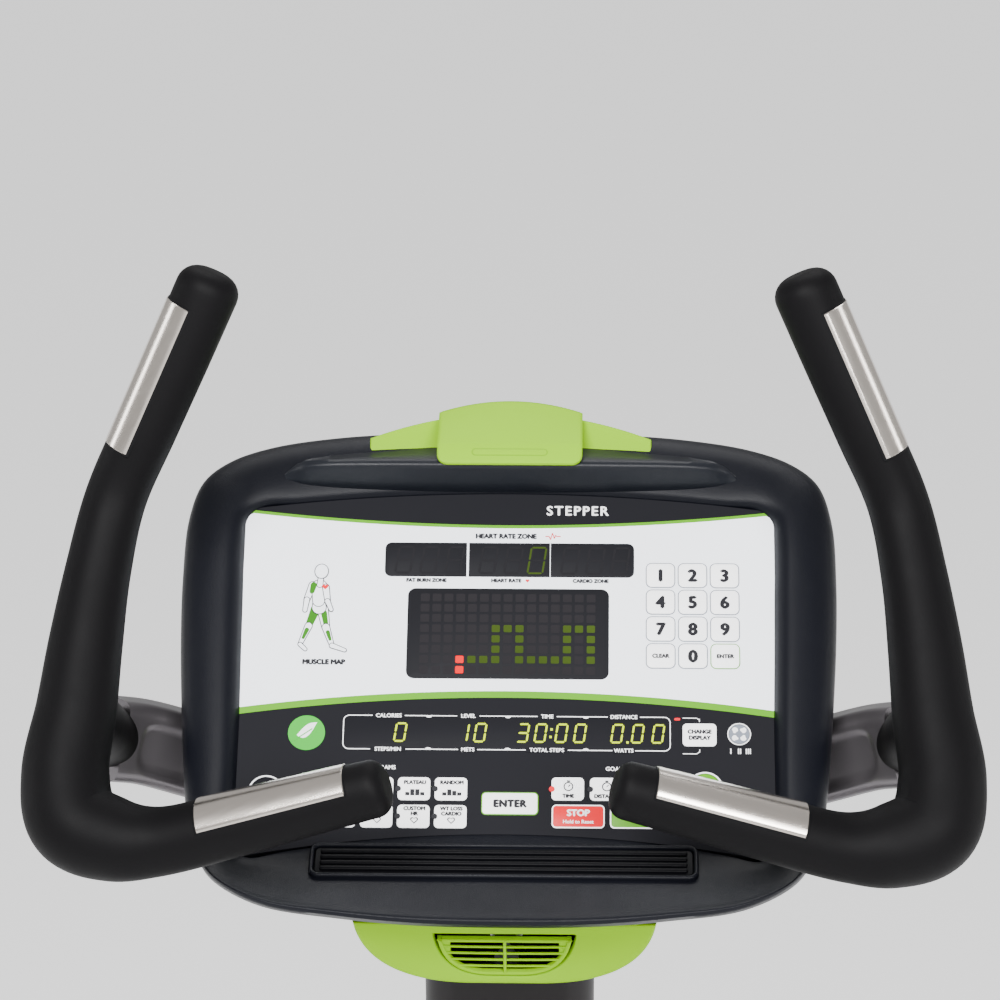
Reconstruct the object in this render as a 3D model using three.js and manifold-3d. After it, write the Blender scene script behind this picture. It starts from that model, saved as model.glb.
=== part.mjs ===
// A free-standing stepper for a gym: a floor frame, two spring-returned pedals on parallelogram arms,
// a strap, clutch and generator drive under side covers, a mast, a pair of shaped handlebars and a console.
// Millimetres, +Z up. The user stands at -Y and faces +Y; +X is the user's right. The origin is on the floor,
// under the middle of the whole machine.
import * as THREE from "three";
import { mergeVertices } from "three/addons/utils/BufferGeometryUtils.js";
import Module from "manifold-3d";

const wasm = await Module();
wasm.setup();

// ---- Driving dimensions ----------------------------------------------------------------------
const GAP = 0.4; // clearance between pieces that touch
const LENGTH = 1310; // over the transport wheels and the rear stabilizer
const WIDTH = 680; // over the stabilizers
const RAIL_LOW = 24; // underside of the floor frame
const WALL = 3; // wall of the tubes and the moulded covers

const STEP = {
  pivot: [330, 300], // y, z of the pedal arm's pivot
  length: 520, // pivot to pivot along the arm
  rise: 14, // degrees above level with the pedal up
  link: 80, // the levelling link runs this far below the arm
  offset: 115, // x of each arm
};
const DRIVE = {
  shaft: [217, 480], // y, z
  shaftRadius: 10,
  clutchRadius: 32,
  pulleyRadius: 95,
  pulleyX: [-52, -30],
  generator: [500, 260],
  generatorRadius: 65,
  rotorPulleyRadius: 22,
};
const PLATE_X = 70; // middle of each side plate of the drive frame
const PLATE = 6;

const MAST = { width: 116, depth: 60, top: [211, 1290], bottom: [339.5, 561] }; // y, z on its centre line
const CONSOLE = { y: 150, z: 1395, tilt: 40 }; // middle of the control panel, tilt from upright in degrees
const PANEL = { half: 172.5, low: [-125, -108], high: [119, 131], corner: 12 }; // at the corners, in the middle

// ---- Materials -------------------------------------------------------------------------------
const finish = (color, roughness, metalness = 0) =>
  new THREE.MeshStandardMaterial({ color, roughness, metalness });
const MATERIAL = {
  frame: finish(0x3b393c, 0.45, 0.6),
  cover: finish(0x2b2c30, 0.55),
  shell: finish(0x1b1c20, 0.5),
  grip: finish(0x1d1c1d, 0.7),
  contact: finish(0xc9c4bb, 0.25, 1),
  overlay: finish(0xe9ecee, 0.4),
  window: finish(0x2a2a2c, 0.15),
  rubber: finish(0x0d0d0e, 0.6),
  green: finish(0x9cc43e, 0.45),
  steel: finish(0x9a9da0, 0.35, 1),
  belt: finish(0x141414, 0.8),
  board: finish(0x1f5a33, 0.6),
};

// ---- Helpers ---------------------------------------------------------------------------------
const part = new THREE.Group();
const Z_AXIS = new THREE.Vector3(0, 0, 1);
const radians = THREE.MathUtils.degToRad;
const v3 = (x, y, z) => new THREE.Vector3(x, y, z);

function solid(geometry) {
  const bare = geometry.index ? geometry.toNonIndexed() : geometry.clone();
  bare.deleteAttribute("normal");
  bare.deleteAttribute("uv");
  const merged = mergeVertices(bare, 1e-3);
  return new wasm.Manifold(
    new wasm.Mesh({
      numProp: 3,
      vertProperties: new Float32Array(merged.attributes.position.array),
      triVerts: new Uint32Array(merged.index.array),
    }),
  );
}

function geometryOf(manifold) {
  const mesh = manifold.getMesh();
  const positions = new Float32Array(mesh.numVert * 3);
  for (let i = 0; i < mesh.numVert; i++)
    positions.set(mesh.vertProperties.subarray(i * mesh.numProp, i * mesh.numProp + 3), i * 3);
  const made = new THREE.BufferGeometry();
  made.setAttribute("position", new THREE.BufferAttribute(positions, 3));
  made.setIndex(new THREE.BufferAttribute(mesh.triVerts, 1));
  return made;
}

function add(name, shape, material, parent = part) {
  const mesh = new THREE.Mesh(shape.isBufferGeometry ? shape : geometryOf(shape), material);
  mesh.name = name;
  parent.add(mesh);
  return mesh;
}

const union = (...solids) => solids.reduce((a, b) => a.add(b));

// A box from its low corner to its high corner.
function block([x0, y0, z0], [x1, y1, z1]) {
  const g = new THREE.BoxGeometry(x1 - x0, y1 - y0, z1 - z0);
  return solid(g.translate((x0 + x1) / 2, (y0 + y1) / 2, (z0 + z1) / 2));
}

// A round bar along X, Y or Z.
function rod(axis, radius, from, to, a, b, sides = 24) {
  const g = new THREE.CylinderGeometry(radius, radius, to - from, sides);
  const middle = (from + to) / 2;
  if (axis === "x") g.rotateZ(Math.PI / 2).translate(middle, a, b);
  if (axis === "y") g.translate(a, middle, b);
  if (axis === "z") g.rotateX(Math.PI / 2).translate(a, b, middle);
  return solid(g);
}

// A YZ outline pushed along X.
function prismX(shape, x0, x1, bevel = null, steps = 10) {
  const g = new THREE.ExtrudeGeometry(shape, {
    depth: x1 - x0,
    bevelEnabled: Boolean(bevel),
    curveSegments: steps,
    ...bevel,
  });
  const toX = new THREE.Matrix4().makeBasis(v3(0, 1, 0), v3(0, 0, 1), v3(1, 0, 0));
  return solid(g.applyMatrix4(toX).translate(x0, 0, 0));
}

// An XZ outline pushed along Y.
function prismY(shape, y0, y1, steps = 12) {
  const g = new THREE.ExtrudeGeometry(shape, {
    depth: y1 - y0,
    bevelEnabled: false,
    curveSegments: steps,
  });
  return solid(g.rotateX(Math.PI / 2).translate(0, y1, 0));
}

// An XY outline pushed along Z.
function prismZ(shape, z0, z1, steps = 6) {
  const g = new THREE.ExtrudeGeometry(shape, {
    depth: z1 - z0,
    bevelEnabled: false,
    curveSegments: steps,
  });
  return solid(g.translate(0, 0, z0));
}

const outline = (points) => new THREE.Shape(points.map(([x, y]) => new THREE.Vector2(x, y)));

function roundedRectangle(x0, y0, x1, y1, r) {
  const s = new THREE.Shape();
  s.moveTo(x0 + r, y0).lineTo(x1 - r, y0);
  s.absarc(x1 - r, y0 + r, r, -Math.PI / 2, 0, false);
  s.lineTo(x1, y1 - r);
  s.absarc(x1 - r, y1 - r, r, 0, Math.PI / 2, false);
  s.lineTo(x0 + r, y1);
  s.absarc(x0 + r, y1 - r, r, Math.PI / 2, Math.PI, false);
  s.lineTo(x0, y0 + r);
  s.absarc(x0 + r, y0 + r, r, Math.PI, 1.5 * Math.PI, false);
  return s;
}

// A closed body through rings that all have the same number of points.
function loft(rings) {
  const n = rings[0].length;
  const positions = rings.flat().flatMap((p) => [p.x, p.y, p.z]);
  const faces = [];
  for (let i = 0; i + 1 < rings.length; i++)
    for (let j = 0; j < n; j++) {
      const a = i * n + j;
      const b = i * n + ((j + 1) % n);
      faces.push(a, b, b + n, a, b + n, a + n);
    }
  const last = (rings.length - 1) * n;
  for (let j = 1; j + 1 < n; j++) faces.push(0, j + 1, j, last, last + j, last + j + 1);
  const g = new THREE.BufferGeometry();
  g.setAttribute("position", new THREE.Float32BufferAttribute(positions, 3));
  g.setIndex(faces);
  const made = solid(g);
  return made.volume() < 0 ? loft(rings.map((r) => [...r].reverse())) : made;
}

const mirrored = (points, side) => points.map(([x, y, z]) => v3(side * x, y, z));

// ---- Floor frame -----------------------------------------------------------------------------
const STABILIZER = { depth: 62, height: 52, half: WIDTH / 2, wall: 3 };
const FOOT = { x: 300, radius: 26, height: 20, stud: 6 };
const REAR_Y = -LENGTH / 2;
const WHEEL = { radius: 28, width: 22, x: 235, y: LENGTH / 2 - 28, z: 36, stub: 6 };
const FRONT_Y = LENGTH / 2 - 2 * WHEEL.radius - 8 - STABILIZER.depth;

function stabilizer(y0) {
  const { depth, height, half, wall } = STABILIZER;
  const top = RAIL_LOW + height;
  const bevel = { bevelThickness: 4, bevelSize: 4, bevelOffset: -4, bevelSegments: 1 };
  const outer = prismX(roundedRectangle(y0, RAIL_LOW, y0 + depth, top, 10), 4 - half, half - 4, bevel, 3);
  const inner = block(
    [-half + 6, y0 + wall, RAIL_LOW + wall],
    [half - 6, y0 + depth - wall, top - wall],
  );
  const holes = [-FOOT.x, FOOT.x].map((x) =>
    rod("z", FOOT.stud + GAP, 0, RAIL_LOW + 10, x, y0 + depth / 2, 12),
  );
  return outer.subtract(inner).subtract(union(...holes));
}

function levellingFoot(x, y) {
  const { radius, height, stud } = FOOT;
  const profile = [
    [0, 0],
    [radius, 0],
    [radius, 9],
    [radius - 6, 14],
    [12, height],
    [stud, height],
    [stud, RAIL_LOW + 24],
    [0, RAIL_LOW + 24],
  ].map(([r, z]) => new THREE.Vector2(r, z));
  return new THREE.LatheGeometry(profile, 16).rotateX(Math.PI / 2).translate(x, y, 0);
}

function floorFrame() {
  const wheelEars = [-1, 1].flatMap((side) => {
    const inner = side * (WHEEL.x - WHEEL.width / 2 - 2);
    const ear = outline([
      [FRONT_Y + STABILIZER.depth - 6, RAIL_LOW + 6],
      [WHEEL.y + 8, WHEEL.z - 12],
      [WHEEL.y + 12, WHEEL.z + 4],
      [WHEEL.y + 4, WHEEL.z + 13],
      [FRONT_Y + STABILIZER.depth - 6, RAIL_LOW + 40],
    ]);
    const plate = prismX(ear, Math.min(inner, inner - side * 5), Math.max(inner, inner - side * 5));
    const x0 = side * (WHEEL.x - WHEEL.width / 2 - 5);
    const x1 = side * (WHEEL.x + WHEEL.width / 2 + 3);
    return [plate, rod("x", WHEEL.stub, Math.min(x0, x1), Math.max(x0, x1), WHEEL.y, WHEEL.z, 20)];
  });
  add("front_stabilizer", union(stabilizer(FRONT_Y), ...wheelEars), MATERIAL.frame);
  add("rear_stabilizer", stabilizer(REAR_Y), MATERIAL.frame);

  const railLow = REAR_Y + STABILIZER.depth + GAP;
  const railHigh = FRONT_Y - GAP;
  const rail = prismY(roundedRectangle(-50, RAIL_LOW, 50, 82, 8), railLow, railHigh, 3);
  const bore = prismY(roundedRectangle(-47, RAIL_LOW + 3, 47, 79, 5), railLow - 1, railHigh + 1, 3);
  add("base_rail", rail.subtract(bore), MATERIAL.frame);

  const rows = { front: FRONT_Y + STABILIZER.depth / 2, rear: REAR_Y + STABILIZER.depth / 2 };
  for (const [row, y] of Object.entries(rows))
    for (const [side, x] of [["left", -FOOT.x], ["right", FOOT.x]])
      add(`${row}_${side}_foot`, levellingFoot(x, y), MATERIAL.rubber);

  for (const [side, x] of [["left", -WHEEL.x], ["right", WHEEL.x]]) {
    const bored = WHEEL.stub + GAP;
    const profile = [
      [bored, -11],
      [WHEEL.radius - 4, -11],
      [WHEEL.radius, -7],
      [WHEEL.radius, 7],
      [WHEEL.radius - 4, 11],
      [bored, 11],
      [bored, -11],
    ].map(([r, w]) => new THREE.Vector2(r, w));
    const wheel = new THREE.LatheGeometry(profile, 24).rotateZ(Math.PI / 2);
    add(`${side}_transport_wheel`, wheel.translate(x, WHEEL.y, WHEEL.z), MATERIAL.rubber);
  }
}

// ---- Drive frame, shafts and generator --------------------------------------------------------
const BEARING = { outer: 20, width: 10 };
const SPRING_Y = 275;
const SPRING_TOP = 504;

function driveFrame() {
  const [pivotY, pivotZ] = STEP.pivot;
  const [shaftY, shaftZ] = DRIVE.shaft;
  const side = outline([
    [170, 82.4],
    [560, 82.4],
    [560, 330],
    [430, 560],
    [290, 560],
    [290, 530],
    [170, 530],
  ]);
  const plates = [-1, 1].map((s) => prismX(side, s * PLATE_X - PLATE / 2, s * PLATE_X + PLATE / 2));
  const floor = block([-PLATE_X, 170, 82.4], [PLATE_X, 560, 88]);
  const mastSeat = block([-PLATE_X, 290, 552], [PLATE_X, 400, 560]);
  const springRods = [
    rod("x", 5, -130, -PLATE_X, SPRING_Y, SPRING_TOP + 8, 12),
    rod("x", 5, PLATE_X, 130, SPRING_Y, SPRING_TOP + 8, 12),
  ];
  const linkPins = rod("x", 8, -136, 136, pivotY, pivotZ - STEP.link, 20);
  const spine = union(...plates, floor, mastSeat, ...springRods, linkPins);
  const holes = union(
    rod("x", 12.5 + GAP, -90, 90, pivotY, pivotZ, 20),
    rod("x", BEARING.outer + GAP, -90, 90, shaftY, shaftZ, 20),
  );
  add("drive_frame", spine.subtract(holes), MATERIAL.frame);
  add("pivot_shaft", rod("x", 12.5, -142, 142, pivotY, pivotZ, 24), MATERIAL.steel);

  for (const [name, s] of [["left", -1], ["right", 1]]) {
    const ring = [
      [DRIVE.shaftRadius + GAP, -BEARING.width / 2],
      [BEARING.outer, -BEARING.width / 2],
      [BEARING.outer, BEARING.width / 2],
      [DRIVE.shaftRadius + GAP, BEARING.width / 2],
      [DRIVE.shaftRadius + GAP, -BEARING.width / 2],
    ].map(([r, w]) => new THREE.Vector2(r, w));
    const bearing = new THREE.LatheGeometry(ring, 20).rotateZ(Math.PI / 2);
    add(`${name}_bearing`, bearing.translate(s * PLATE_X, shaftY, shaftZ), MATERIAL.steel);
  }
}

function groovedWheel(radius, boreRadius, width, rim) {
  const half = width / 2;
  return [
    [boreRadius, -half],
    [radius + rim, -half],
    [radius + rim, -half + 2],
    [radius, -half + 2],
    [radius, half - 2],
    [radius + rim, half - 2],
    [radius + rim, half],
    [boreRadius, half],
    [boreRadius, -half],
  ].map(([r, w]) => new THREE.Vector2(r, w));
}

function lathedX(profile, sides, x, y, z) {
  return new THREE.LatheGeometry(profile, sides).rotateZ(Math.PI / 2).translate(x, y, z);
}

// A belt's loop round two wheels: the outside, with the inside cut out of it.
function beltLoop([y1, z1], r1, [y2, z2], r2, thickness) {
  const along = Math.atan2(z2 - z1, y2 - y1);
  const lean = Math.acos((r1 - r2) / Math.hypot(y2 - y1, z2 - z1));
  const path = (Kind, grow) => {
    const s = new Kind();
    s.absarc(y1, z1, r1 + grow, along + lean, along + 2 * Math.PI - lean, false);
    s.absarc(y2, z2, r2 + grow, along - lean, along + lean, false);
    s.closePath();
    return s;
  };
  const loop = path(THREE.Shape, thickness);
  loop.holes.push(path(THREE.Path, 0));
  return loop;
}

function driveTrain() {
  const [shaftY, shaftZ] = DRIVE.shaft;
  const [genY, genZ] = DRIVE.generator;
  const [px0, px1] = DRIVE.pulleyX;
  const pulleyX = (px0 + px1) / 2;
  const bore = DRIVE.shaftRadius + GAP;
  add("drive_shaft", rod("x", DRIVE.shaftRadius, -138, 138, shaftY, shaftZ, 24), MATERIAL.steel);

  const disc = solid(lathedX(groovedWheel(DRIVE.pulleyRadius, bore, px1 - px0, 3), 36, pulleyX, shaftY, shaftZ));
  const windows = [0, 1, 2, 3, 4].map((i) => {
    const angle = (i / 5) * 2 * Math.PI;
    return rod("x", 20, px0 - 1, px1 + 1, shaftY + 55 * Math.cos(angle), shaftZ + 55 * Math.sin(angle), 12);
  });
  add("drive_pulley", disc.subtract(union(...windows)), MATERIAL.steel);

  for (const [name, s] of [["left", -1], ["right", 1]]) {
    const profile = groovedWheel(DRIVE.clutchRadius, bore, 28, 5);
    add(`${name}_clutch_pulley`, lathedX(profile, 24, s * STEP.offset, shaftY, shaftZ), MATERIAL.steel);
  }

  const body = union(
    rod("x", DRIVE.generatorRadius, -18, 58, genY, genZ, 28),
    rod("x", DRIVE.generatorRadius - 18, -24, PLATE_X - PLATE / 2 - GAP, genY, genZ, 24),
    block([10, genY - 20, 88 + GAP], [58, genY + 20, genZ]),
  );
  const socket = rod("x", 8 + GAP, -30, 30, genY, genZ, 20);
  add("generator", body.subtract(socket), MATERIAL.steel);
  const rotor = union(
    solid(lathedX(groovedWheel(DRIVE.rotorPulleyRadius, 6, px1 - px0, 3), 20, pulleyX, genY, genZ)),
    rod("x", 8, px0 - 6, 26, genY, genZ, 20),
  );
  add("generator_pulley", rotor, MATERIAL.steel);

  const loop = beltLoop(
    DRIVE.shaft,
    DRIVE.pulleyRadius + GAP,
    DRIVE.generator,
    DRIVE.rotorPulleyRadius + GAP,
    2.4,
  );
  add("drive_belt", prismX(loop, px0 + 2.5, px1 - 2.5, null, 10), MATERIAL.belt);
}

// ---- Pedals, arms, levelling links, straps and springs ----------------------------------------
const ARM = { width: 25, height: 46, hub: 26 };
const EYE = { pin: 8, outer: 20, width: 34 };
const PEDAL = { width: 166, back: 303, front: 50, top: 55, plate: 12, ear: 6 };

function pedalSide(name, side) {
  const x = side * STEP.offset;
  const rise = radians(STEP.rise);
  const [pivotY, pivotZ] = STEP.pivot;
  const endY = pivotY - STEP.length * Math.cos(rise);
  const endZ = pivotZ + STEP.length * Math.sin(rise);
  const xs = (half) => [x - half, x + half];

  // A straight bar from its pivot, rising rearwards, with an eye at each end.
  const bar = (half, height, frontEye, frontBore, z0) => {
    const beam = new THREE.BoxGeometry(2 * half, STEP.length, height);
    beam.rotateX(-rise).translate(x, (pivotY + endY) / 2, z0 + (endZ - pivotZ) / 2);
    const [e0, e1] = xs(EYE.width / 2);
    const rearEye = rod("x", EYE.outer, e0, e1, endY, z0 + endZ - pivotZ, 20);
    const hub = rod("x", frontEye, e0, e1, pivotY, z0, 20);
    const bores = union(
      rod("x", frontBore, e0 - 1, e1 + 1, pivotY, z0, 20),
      rod("x", EYE.pin + GAP, e0 - 1, e1 + 1, endY, z0 + endZ - pivotZ, 16),
    );
    return union(solid(beam), rearEye, hub).subtract(bores);
  };
  add(`${name}_pedal_arm`, bar(ARM.width / 2, ARM.height, ARM.hub, 12.5 + GAP, pivotZ), MATERIAL.frame);
  add(`${name}_levelling_link`, bar(8, 24, 16, 8 + GAP, pivotZ - STEP.link), MATERIAL.frame);

  // The pedal: a rimmed tray on a carrier whose pins run in the arm's and the link's eyes.
  const top = endZ + PEDAL.top;
  const rear = endY - PEDAL.back;
  const front = endY + PEDAL.front;
  const half = PEDAL.width / 2;
  const tray = prismZ(roundedRectangle(x - half, rear, x + half, front, 26), top - PEDAL.plate, top + 16, 3);
  const well = prismZ(
    roundedRectangle(x - half + 9, rear + 9, x + half - 9, front - 9, 18),
    top,
    top + 20,
    3,
  );
  const earShape = outline([
    [endY - 42, top - PEDAL.plate + 1],
    [endY - 18, endZ - STEP.link - 14],
    [endY, endZ - STEP.link - 20],
    [endY + 18, endZ - STEP.link - 14],
    [endY + 42, top - PEDAL.plate + 1],
  ]);
  const inner = EYE.width / 2 + 1.5;
  const ears = [-1, 1].map((s) => {
    const a = x + s * inner;
    const b = x + s * (inner + PEDAL.ear);
    return prismX(earShape, Math.min(a, b), Math.max(a, b));
  });
  const [p0, p1] = xs(inner + PEDAL.ear + 3);
  const pins = [endZ, endZ - STEP.link].map((z) => rod("x", EYE.pin, p0, p1, endY, z, 16));
  add(`${name}_pedal`, union(tray, ...ears, ...pins).subtract(well), MATERIAL.shell);

  const matBase = prismZ(
    roundedRectangle(x - half + 9 + GAP, rear + 9 + GAP, x + half - 9 - GAP, front - 9 - GAP, 17.6),
    top + GAP,
    top + 5,
    3,
  );
  const ribs = [];
  for (let y = rear + 28; y < front - 26; y += 24)
    ribs.push(block([x - half + 22, y, top + 4], [x + half - 22, y + 12, top + 8]));
  add(`${name}_pedal_mat`, union(matBase, ...ribs), MATERIAL.rubber);

  // The strap hangs from the clutch pulley's rear to the arm, and the spring from the frame's rod.
  const [shaftY, shaftZ] = DRIVE.shaft;
  const armTop = (y) => pivotZ + (pivotY - y) * Math.tan(rise) + ARM.height / 2 / Math.cos(rise);
  const strapY = shaftY - DRIVE.clutchRadius;
  const strap = block([x - 10, strapY - 2, armTop(strapY - 2) + 1], [x + 10, strapY - GAP, shaftZ]);
  add(`${name}_strap`, strap, MATERIAL.belt);
  const low = armTop(SPRING_Y - 12) + 2;
  add(`${name}_return_spring`, coilSpring(x, SPRING_Y, low, SPRING_TOP, 9.5, 1.9, 7), MATERIAL.steel);
}

// A closed coil spring standing along Z.
function coilSpring(x, y, low, high, radius, wire, turns) {
  const steps = turns * 8;
  const sides = 5;
  const rings = [];
  for (let i = 0; i <= steps; i++) {
    const angle = (i / 8) * 2 * Math.PI;
    const z = low + wire + ((high - low - 2 * wire) * i) / steps;
    const out = v3(Math.cos(angle), Math.sin(angle), 0);
    rings.push(
      Array.from({ length: sides }, (_, j) => {
        const a = (j / sides) * 2 * Math.PI;
        return v3(x, y, z)
          .addScaledVector(out, radius + wire * Math.cos(a))
          .addScaledVector(Z_AXIS, wire * Math.sin(a));
      }),
    );
  }
  return loft(rings);
}

// ---- Side covers and mast ---------------------------------------------------------------------
const COVER = { half: 168, low: 92, rear: 26, edge: 26 };
const coverOutline = outline([
  [COVER.rear + 6, COVER.low],
  [COVER.rear, 420],
  [COVER.rear + 10, 490],
  [COVER.rear + 45, 545],
  [110, 578],
  [235, 648],
  [276, 668],
  [368, 668],
  [430, 650],
  [505, 585],
  [560, 490],
  [588, 380],
  [594, 250],
  [590, COVER.low],
]);

function mastSolid(grow, z0, z1) {
  const [topY, topZ] = MAST.top;
  const [lowY, lowZ] = MAST.bottom;
  const lean = (lowY - topY) / (topZ - lowZ);
  const at = (z) => topY + (topZ - z) * lean;
  const ring = (z) => {
    const shape = roundedRectangle(
      -MAST.width / 2 - grow,
      at(z) - MAST.depth / 2 - grow,
      MAST.width / 2 + grow,
      at(z) + MAST.depth / 2 + grow,
      22 + grow,
    );
    return shape.extractPoints(4).shape.map((p) => v3(p.x, p.y, z));
  };
  return loft([ring(z0), ring(z1)]);
}

function covers() {
  const { half, low, rear, edge } = COVER;
  const bevel = { bevelThickness: edge, bevelSize: edge, bevelOffset: -edge, bevelSegments: 3 };
  const outer = prismX(coverOutline, -half + edge, half - edge, bevel);
  const thin = edge - WALL;
  const inside = { ...bevel, bevelThickness: thin, bevelSize: thin, bevelOffset: -edge };
  const hollow = union(
    prismX(coverOutline, -half + edge, half - edge, inside),
    block([-half + WALL + 2, rear + 26, low - 10], [half - WALL - 2, 560, low + 40]),
  );
  const slots = [-1, 1].map((s) => {
    const x = s * STEP.offset;
    return block([x - 24, rear - 30, low - 10], [x + 24, rear + 60, 418]);
  });
  const bothCovers = outer
    .subtract(hollow)
    .subtract(union(...slots))
    .subtract(mastSolid(2, 500, 800));
  add("left_side_cover", bothCovers.intersect(block([-half - 1, 0, 0], [-GAP / 2, 700, 900])), MATERIAL.cover);
  add("right_side_cover", bothCovers.intersect(block([GAP / 2, 0, 0], [half + 1, 700, 900])), MATERIAL.cover);

  const collarOuter = mastSolid(16, 669, 690).add(mastSolid(9, 689.5, 712));
  add("mast_collar", collarOuter.subtract(mastSolid(1.2, 600, 800)), MATERIAL.shell);
}

const consoleFrame = new THREE.Group();
consoleFrame.position.set(0, CONSOLE.y, CONSOLE.z);
consoleFrame.rotation.x = radians(90 - CONSOLE.tilt);
consoleFrame.updateMatrixWorld(true);
part.add(consoleFrame);
const inConsole = (manifold) =>
  solid(geometryOf(manifold).applyMatrix4(consoleFrame.matrixWorld));

const BACK_Z = -78; // rear face of the console's back shell, in the console's own frame

function mast() {
  const flange = block([-72, 290, 560 + GAP], [72, 400, 570]);
  const top = inConsole(block([-70, -60, BACK_Z - 8], [70, 44, BACK_Z - GAP]));
  const above = inConsole(block([-200, -400, BACK_Z - 7], [200, 400, 200]));
  const tube = mastSolid(0, 565, 1420).subtract(mastSolid(-WALL, 500, 1500));
  add("mast", union(tube.subtract(above), flange.subtract(mastSolid(-WALL, 500, 700)), top), MATERIAL.frame);
}

// ---- Handlebars ------------------------------------------------------------------------------
// Centre line and radius from the top of the upright grip, round the elbow, to the inner grip's end.
const BAR = [
  [185, 132, 1662, 20.4],
  [206, 128.7, 1615, 20.2],
  [227, 125.3, 1569, 19.9],
  [248, 122, 1522, 19.7],
  [258, 102, 1479, 21],
  [264, 79, 1438, 23.5],
  [268, 58, 1402, 25.5],
  [272, 36, 1367, 27.5],
  [264, 20, 1342, 29],
  [240, 12, 1333, 26.5],
  [213, 7, 1333, 21.8],
  [169, 1, 1345.7, 20.4],
  [124, -5, 1360.3, 19.2],
  [78, -11, 1375, 18],
];
const BAR_STEPS = 28;
const BAR_SIDES = 12;
const BAR_ROUNDING = 11;

function barCurve(side) {
  return new THREE.CatmullRomCurve3(mirrored(BAR, side), false, "centripetal");
}

// The radius at a share of the way through the listed points.
function barRadius(t) {
  const at = t * (BAR.length - 1);
  const i = Math.min(Math.floor(at), BAR.length - 2);
  return THREE.MathUtils.lerp(BAR[i][3], BAR[i + 1][3], at - i);
}

function ringAt(curve, frames, i, steps, radius, slide = 0) {
  const centre = curve.getPoint(i / steps).addScaledVector(frames.tangents[i], slide);
  return Array.from({ length: BAR_SIDES }, (_, j) => {
    const a = (j / BAR_SIDES) * 2 * Math.PI;
    return centre
      .clone()
      .addScaledVector(frames.normals[i], radius * Math.cos(a))
      .addScaledVector(frames.binormals[i], radius * Math.sin(a));
  });
}

// Frames carried along the curve by its own parameter, so that each listed radius meets its point.
function barFrames(curve) {
  const tangents = [];
  const normals = [];
  const binormals = [];
  let normal = v3(1, 0, 0);
  for (let i = 0; i <= BAR_STEPS; i++) {
    const t = curve.getTangent(i / BAR_STEPS);
    normal = normal.clone().addScaledVector(t, -normal.dot(t)).normalize();
    tangents.push(t);
    normals.push(normal);
    binormals.push(t.clone().cross(normal));
  }
  return { tangents, normals, binormals };
}

const ARM_PATH = [
  [259, 146, 1353],
  [240, 160, 1346],
  [200, 179, 1328],
  [140, 207, 1303],
  [58.6, 213, 1284],
];
const BAR_JOINT = [266, 62, 1395];

function handlebar(name, side) {
  const curve = barCurve(side);
  const frames = barFrames(curve);
  const rings = [];
  const soften = [
    [1, 0.45],
    [0.7, 0.78],
    [0.3, 0.95],
  ];
  for (const [out, share] of soften)
    rings.push(ringAt(curve, frames, 0, BAR_STEPS, BAR[0][3] * share, -BAR_ROUNDING * out));
  for (let i = 0; i <= BAR_STEPS; i++)
    rings.push(ringAt(curve, frames, i, BAR_STEPS, barRadius(i / BAR_STEPS)));
  for (const [out, share] of [...soften].reverse())
    rings.push(ringAt(curve, frames, BAR_STEPS, BAR_STEPS, BAR.at(-1)[3] * share, BAR_ROUNDING * out));

  // The socket behind the bar that the support arm meets.
  const [joint, armEnd] = mirrored([BAR_JOINT, ARM_PATH[0]], side);
  const toArm = armEnd.clone().sub(joint);
  const reach = toArm.length() - 4;
  toArm.normalize();
  const boss = new THREE.CylinderGeometry(19, 24, reach, 16).translate(0, reach / 2, 0);
  boss.applyQuaternion(new THREE.Quaternion().setFromUnitVectors(v3(0, 1, 0), toArm));
  boss.translate(joint.x, joint.y, joint.z);
  add(`${name}_handlebar`, loft(rings).add(solid(boss)), MATERIAL.grip);

  // The support arm: a tall flat tube from the mast, forward and up to the bar.
  const path = mirrored(ARM_PATH, side);
  path[0].addScaledVector(toArm, GAP);
  const line = new THREE.CatmullRomCurve3(path, false, "centripetal");
  const steps = 9;
  const armRings = [];
  for (let i = 0; i <= steps; i++) {
    const p = line.getPointAt(i / steps);
    const t = i === 0 ? toArm.clone() : line.getTangentAt(i / steps);
    if (i === steps) t.set(-side, 0, 0);
    const across = t.clone().cross(Z_AXIS).normalize();
    const up = across.clone().cross(t).normalize();
    const section = roundedRectangle(-17, -27, 17, 27, 9).extractPoints(2).shape;
    armRings.push(
      section.map((q) => p.clone().addScaledVector(across, q.x).addScaledVector(up, q.y)),
    );
  }
  add(`${name}_handlebar_support`, loft(armRings), MATERIAL.frame);

  // Pulse contacts: thin curved plates on the two straight grips.
  const outward = v3(side * 0.866, -0.483, 0.13);
  const upward = v3(0, -0.423, 0.907);
  const upper = mirrored([[193.6, 130.6, 1643], [235, 124, 1551]], side);
  const lower = mirrored([[182, 2.7, 1341.6], [90, -9.5, 1371.2]], side);
  contact(`${name}_upper_contact`, upper, [20.9, 20.4], outward);
  contact(`${name}_lower_contact`, lower, [21.4, 18.9], upward);
}

const CONTACT = { half: radians(55), thick: 1.5 };

// A plate bent round the line between two points, with its inner radius at each.
function contact(name, [from, to], radii, facing) {
  const along = to.clone().sub(from).normalize();
  const centre = facing.clone().addScaledVector(along, -facing.dot(along)).normalize();
  const cross = along.clone().cross(centre);
  const arcSteps = 8;
  const rings = Array.from({ length: arcSteps + 1 }, (_, i) => {
    const a = CONTACT.half * ((2 * i) / arcSteps - 1);
    const out = centre.clone().multiplyScalar(Math.cos(a)).addScaledVector(cross, Math.sin(a));
    const at = (p, r) => p.clone().addScaledVector(out, r);
    return [
      at(from, radii[0]),
      at(to, radii[1]),
      at(to, radii[1] + CONTACT.thick),
      at(from, radii[0] + CONTACT.thick),
    ];
  });
  add(name, loft(rings), MATERIAL.contact);
}

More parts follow.
